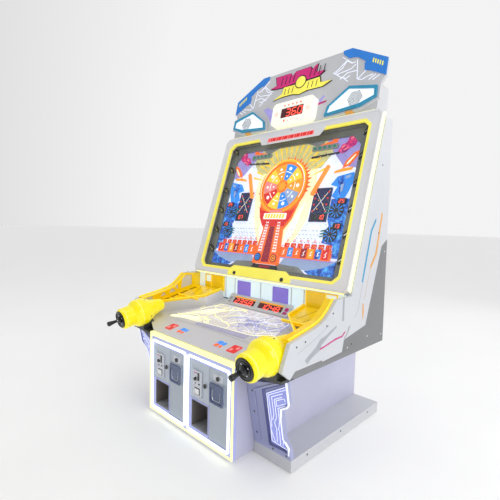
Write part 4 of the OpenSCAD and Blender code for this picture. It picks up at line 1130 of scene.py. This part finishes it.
HEADER_H = 428
trace = Batch("header_lightning", TRACE, HEADER)
BOLTS = [[(289, 395), (363, 335), (322, 361), (264, 314), (238, 303)], [(385, 336), (363, 335), (329, 360)],
         [(322, 355), (298, 319), (251, 296)], [(388, 321), (362, 300), (299, 293), (272, 290)],
         [(394, 347), (411, 223)], [(455, 321), (490, 290), (415, 222), (441, 211), (468, 221), (508, 227)],
         [(402, 278), (343, 281), (294, 251)], [(525, 222), (485, 199)], [(550, 214), (510, 192)],
         [(361, 257), (326, 246), (352, 224)], [(252, 300), (300, 262), (330, 250)]]
for pts in BOLTS:
    for s in (1, -1):
        trace.line(on_side(s, pts), 4, 0, 1.2)
trace.make()
tint = Batch("header_violet_tint", INK["lilac"], HEADER)
tint.poly([(-262, 190), (-210, 160), (-196, 120), (-214, 70), (-234, 110), (-300, 182)], 0, 0.8)
tint.poly([(168, 150), (196, 176), (206, 170), (176, 130)], 0, 0.8)
tint.make()
Batch("header_top_edge", WHITE, HEADER, bevel=0.6).rect(-300, HEADER_H - 5, 300, HEADER_H, 0, 2).make()
slots = Batch("header_cap_slots", TRIM_YELLOW, HEADER, bevel=0.4)
for s in (-1, 1):
    for i in range(5):
        x, y = s * (500 + i * 14.5), 309 - i * 9
        slots.poly(rounded(x - 3.6, y - 13, x + 3.6, y + 13, 2.5, 3), 5, 6.2)
slots.make()
EMBLEM_Y = 312
WING_BAND = [(-262, 326), (-207, 340), (-228, 402), (-96, 398), (-80, 374), (-58, 400), (58, 400),
             (80, 374), (96, 398), (116, 404), (110, 350), (176, 346), (136, 318), (34, 318), (0, 334),
             (-34, 318), (-150, 312), (-214, 316)]
BALL_BAND = [(-216, 232), (-150, 264), (-140, 308), (-44, 304), (0, 290), (44, 304), (146, 308), (156, 268),
             (236, 264), (176, 238), (60, 242), (0, 228), (-60, 242), (-150, 242)]


def grown(pts, g):
    """Outline pushed outwards from its middle by g."""
    cx = sum(p[0] for p in pts) / len(pts)
    cy = sum(p[1] for p in pts) / len(pts)
    return [(x + g * (x - cx) / 120, y + g * (1 if y > cy else -1)) for x, y in pts]


rim = Batch("emblem_outline", BLACK, HEADER, bevel=0.4)
rim.poly(grown(WING_BAND, 4), 0, 3)
rim.poly(grown(BALL_BAND, 4), 0, 3.2)
rim.make(replaces=["title_emblem"], slot="black_plastic")
Batch("emblem_wings", MAGENTA, HEADER, bevel=1).poly(
    WING_BAND, 3, 6).make(replaces=["title_emblem"], slot="magenta_plastic")
band = Batch("emblem_wing_slots", BLACK, HEADER)
for s in (-1, 1):
    for i in range(4):
        x = s * (66 + i * 34)
        band.poly([(x - 3, 330), (x + 3, 330), (x + 9, 386), (x + 4, 386)], 6, 6.8)
band.make()
Batch("emblem_ball_band", TRIM_YELLOW, HEADER, bevel=1).poly(
    BALL_BAND, 3.2, 6.4).make(replaces=["title_emblem"], slot="lit_yellow")
Batch("emblem_ball", TRIM_YELLOW, HEADER @ Matrix.Translation((0, EMBLEM_Y, 6))).lathe(
    [(38, 0), (37, 4), (29, 8.4), (16, 10.6), (0, 11.4)], 40).make(smooth=60)
ring = Batch("emblem_ring", BLACK, HEADER, bevel=0.4)
ring.ring(0, EMBLEM_Y, 44, 38, 6, 8, 56)
for s in (-1, 1):
    for i in range(3):
        x = s * (62 + i * 32)
        ring.poly([(x - 3, 252), (x + 3, 252), (x + 8, 294), (x + 3, 294)], 6.4, 7)
ring.make()
Batch("header_magenta_dashes", MAGENTA_DECAL, HEADER).poly(
    [(150, 116), (218, 127), (226, 139), (152, 132)], 0, 1).make()
orange = Batch("pod_orange_tabs", ORANGE_DECAL, HEADER, bevel=0.8)
for s in (-1, 1):
    orange.rect(s * 378, 14, s * 424, 24, 0, 22)
orange.make()
Batch("header_foot_light", GLOW_YELLOW, HEADER, bevel=1).rect(-556, 2, 556, 9, 0, 5).make()


def pod_outline(g):
    return [(238 + g, 22 + g), (462, 34 + g * 1.4), (560 - g, 74 + g * 0.6), (556 - g, 138 - g),
            (382, 176 - g), (252 + g, 80)]


def hole_grid(batch, cx, cy, r, pitch, hole, z0, z1):
    """Round patch of small holes in staggered rows."""
    rows = int(r / pitch)
    for j in range(-rows, rows + 1):
        for i in range(-rows, rows + 1):
            x, y = (i + 0.5 * (j % 2)) * pitch, j * pitch * 0.87
            if math.hypot(x, y) < r:
                batch.disc(cx + x, cy + y, hole, z0, z1, 8)


for s, hand in HANDS:
    Batch(hand + "_pod_face", POD_WHITE, HEADER, bevel=0.8).poly(
        on_side(s, pod_outline(15)), 18.2, 20).make()
    holes = Batch(hand + "_pod_grille", DARK_METAL, HEADER)
    hole_grid(holes, s * 428, 93, 46, 7.6, 2.7, 20, 20.5)
    holes.make()
    Batch(hand + "_pod_rim", WHITE, HEADER, bevel=1).band(
        on_side(s, [(226, 10), (466, 20), (574, 66), (572, 146), (386, 188), (240, 84)]), on_side(s,
        [(238, 22), (462, 34), (560, 74), (556, 138), (382, 176), (252, 80)]), 0, 15).make()

Batch("score_window", LED_WINDOW, HEADER, bevel=0.8).rect(-88, 60, 88, 124, 40, 44).make()
digit = Batch("score_digits", RED_LED, HEADER)
digits(digit, "360", -46, 68, 30, 46, 16, 44, 44.8)
digit.make()
dots = Batch("score_marks", INK["orange"], HEADER)
for i in range(5):
    dots.disc(-64 + i * 32, 142, 6, 46, 46.8, 14)
dots.disc(-52, 38, 7, 46, 46.8, 14)
for x in (-126, 126):
    dots.ring(x, 92, 10, 8, 46, 46.8, 16)
dots.make()
dots = Batch("score_small_marks", INK["red"], HEADER)
for i in range(4):
    dots.disc(-20 + i * 26, 34, 3, 46, 46.6, 10)
dots.make()

# ---------------------------------------------------------------- rear

handle = Batch("service_handle", CHROME, REAR, "service_door", bevel=0.5)
HANDLE_X = -340
handle.ring(HANDLE_X, 1030, 14, 11, -1, 2)
handle.make()
lock = Batch("service_lock_core", DARK_METAL, REAR, "service_door", bevel=0.5)
lock.disc(HANDLE_X, 1030, 10.6, -4, 1)
lock.rect(HANDLE_X - 1, 1024, HANDLE_X + 1, 1036, 1, 1.3)
lock.make()
hinges = Batch("service_hinges", STEEL)
for z in (640, 1030, 1420):
    hinges.on(local_frame((-384, BACK_Y + 3.2, z), (1, 0, 0), (0, 1, 0),
                          (0, 0, 1))).lathe([(0, -30), (3, -30), (3, 30), (0, 30)], 16)
hinges.make(smooth=50)
LOW_REAR = local_frame((0, BACK_Y + 76, 0), (-1, 0, 0), (0, 0, 1), (0, 1, 0))
inlet = Batch("mains_inlet", BLACK, LOW_REAR, bevel=1)
inlet.band(rounded(240, 130, 310, 190, 6), rounded(252, 142, 298, 178, 4), 0, 3)
inlet.poly(rounded(251, 141, 299, 179, 4), 0, 0.8)
inlet.make()
pins = Batch("inlet_pins", STEEL, LOW_REAR)
for x, y in ((265, 156), (285, 156), (275, 168)):
    pins.rect(x - 1, y - 3, x + 1, y + 3, 0.8, 2.6)
pins.make()
Batch("power_switch", INK["red"], LOW_REAR, bevel=1).poly(rounded(322, 142, 342, 178, 3), 0, 3).make()
rear_places = [(REAR, x, z, 0) for x in (-560, 560) for z in (500, 900, 1300, 1640)]
low_places = [(LOW_REAR, x, z, 0) for x in (-400, 0, 400) for z in (90, 430)]
screws("rear_screws", rear_places + low_places, 5, material=STEEL)

# ---------------------------------------------------------------- stage

floor_mesh = bpy.data.meshes.new("floor")
FAR = 90
floor_mesh.from_pydata([(-FAR, -FAR, 0), (FAR, -FAR, 0), (FAR, FAR, 0), (-FAR, FAR, 0)], [], [(0, 1, 2, 3)])
floor = bpy.data.objects.new("floor", floor_mesh)
bpy.context.scene.collection.objects.link(floor)
floor_mesh.materials.append(surface("floor_paint", (0.9, 0.9, 0.9), 0.6, vary=0.01, scale=2, bump=0.02,
    glow=0.16, glow_color=(1, 1, 1)))

world = bpy.data.worlds.new("studio")
bpy.context.scene.world = world
world.use_nodes = True
wt = world.node_tree
around = add_node(wt, "TexCoord").outputs["Generated"]
across = add_node(wt, "SeparateXYZ", Vector=around).outputs["Y"]
fade = add_node(wt, "MapRange", Value=across, From_Min=-0.7, From_Max=0.5, To_Min=0.34, To_Max=0.9)
set_inputs(wt, wt.nodes["Background"], Color=(1.0, 1.0, 1.0, 1), Strength=fade.outputs["Result"])


def area_light(name, place, target, size, power, color=(1, 1, 1)):
    data = bpy.data.lights.new(name, "AREA")
    data.shape = "DISK"
    data.size = size
    data.energy = power
    data.color = color
    o = bpy.data.objects.new(name, data)
    o.location = place
    o.rotation_euler = (Vector(target) - Vector(place)).to_track_quat("-Z", "Y").to_euler()
    bpy.context.scene.collection.objects.link(o)


area_light("key_light", (4.6, -0.6, 2.6), (0, 0, 1.0), 3.0, 62)
area_light("fill_light", (-2.6, -4.2, 3.4), (0, 0, 1.0), 2.6, 22)
area_light("top_light", (0.2, -0.6, 4.6), (0, 0, 1.0), 2.6, 16)
area_light("back_light", (1.0, 4.2, 2.6), (0, 0, 1.0), 2.6, 14)

# camera at the photographed angle: yaw, downward pitch and roll in degrees, place in mm
YAW, PITCH, ROLL = math.radians(44.34), math.radians(3.65), math.radians(1.41)
fwd = Vector((-math.sin(YAW) * math.cos(PITCH), math.cos(YAW) * math.cos(PITCH), -math.sin(PITCH)))
right = Vector((math.cos(YAW), math.sin(YAW), 0))
up = right.cross(fwd)
right_r = right * math.cos(ROLL) + up * math.sin(ROLL)
up_r = up * math.cos(ROLL) - right * math.sin(ROLL)
cam_data = bpy.data.cameras.new("camera")
cam_data.sensor_width = 36
cam_data.lens = 27.03
cam_data.clip_start, cam_data.clip_end = 0.05, 200
cam = bpy.data.objects.new("camera", cam_data)
cam.matrix_world = Matrix(((right_r.x, up_r.x, -fwd.x, 1.53046),
    (right_r.y, up_r.y, -fwd.y, -1.12905 + SHIFT * MM), (right_r.z, up_r.z, -fwd.z, 1.08104), (0, 0, 0, 1)))
bpy.context.scene.collection.objects.link(cam)
bpy.context.scene.camera = cam
bpy.context.scene.view_settings.view_transform = "Standard"
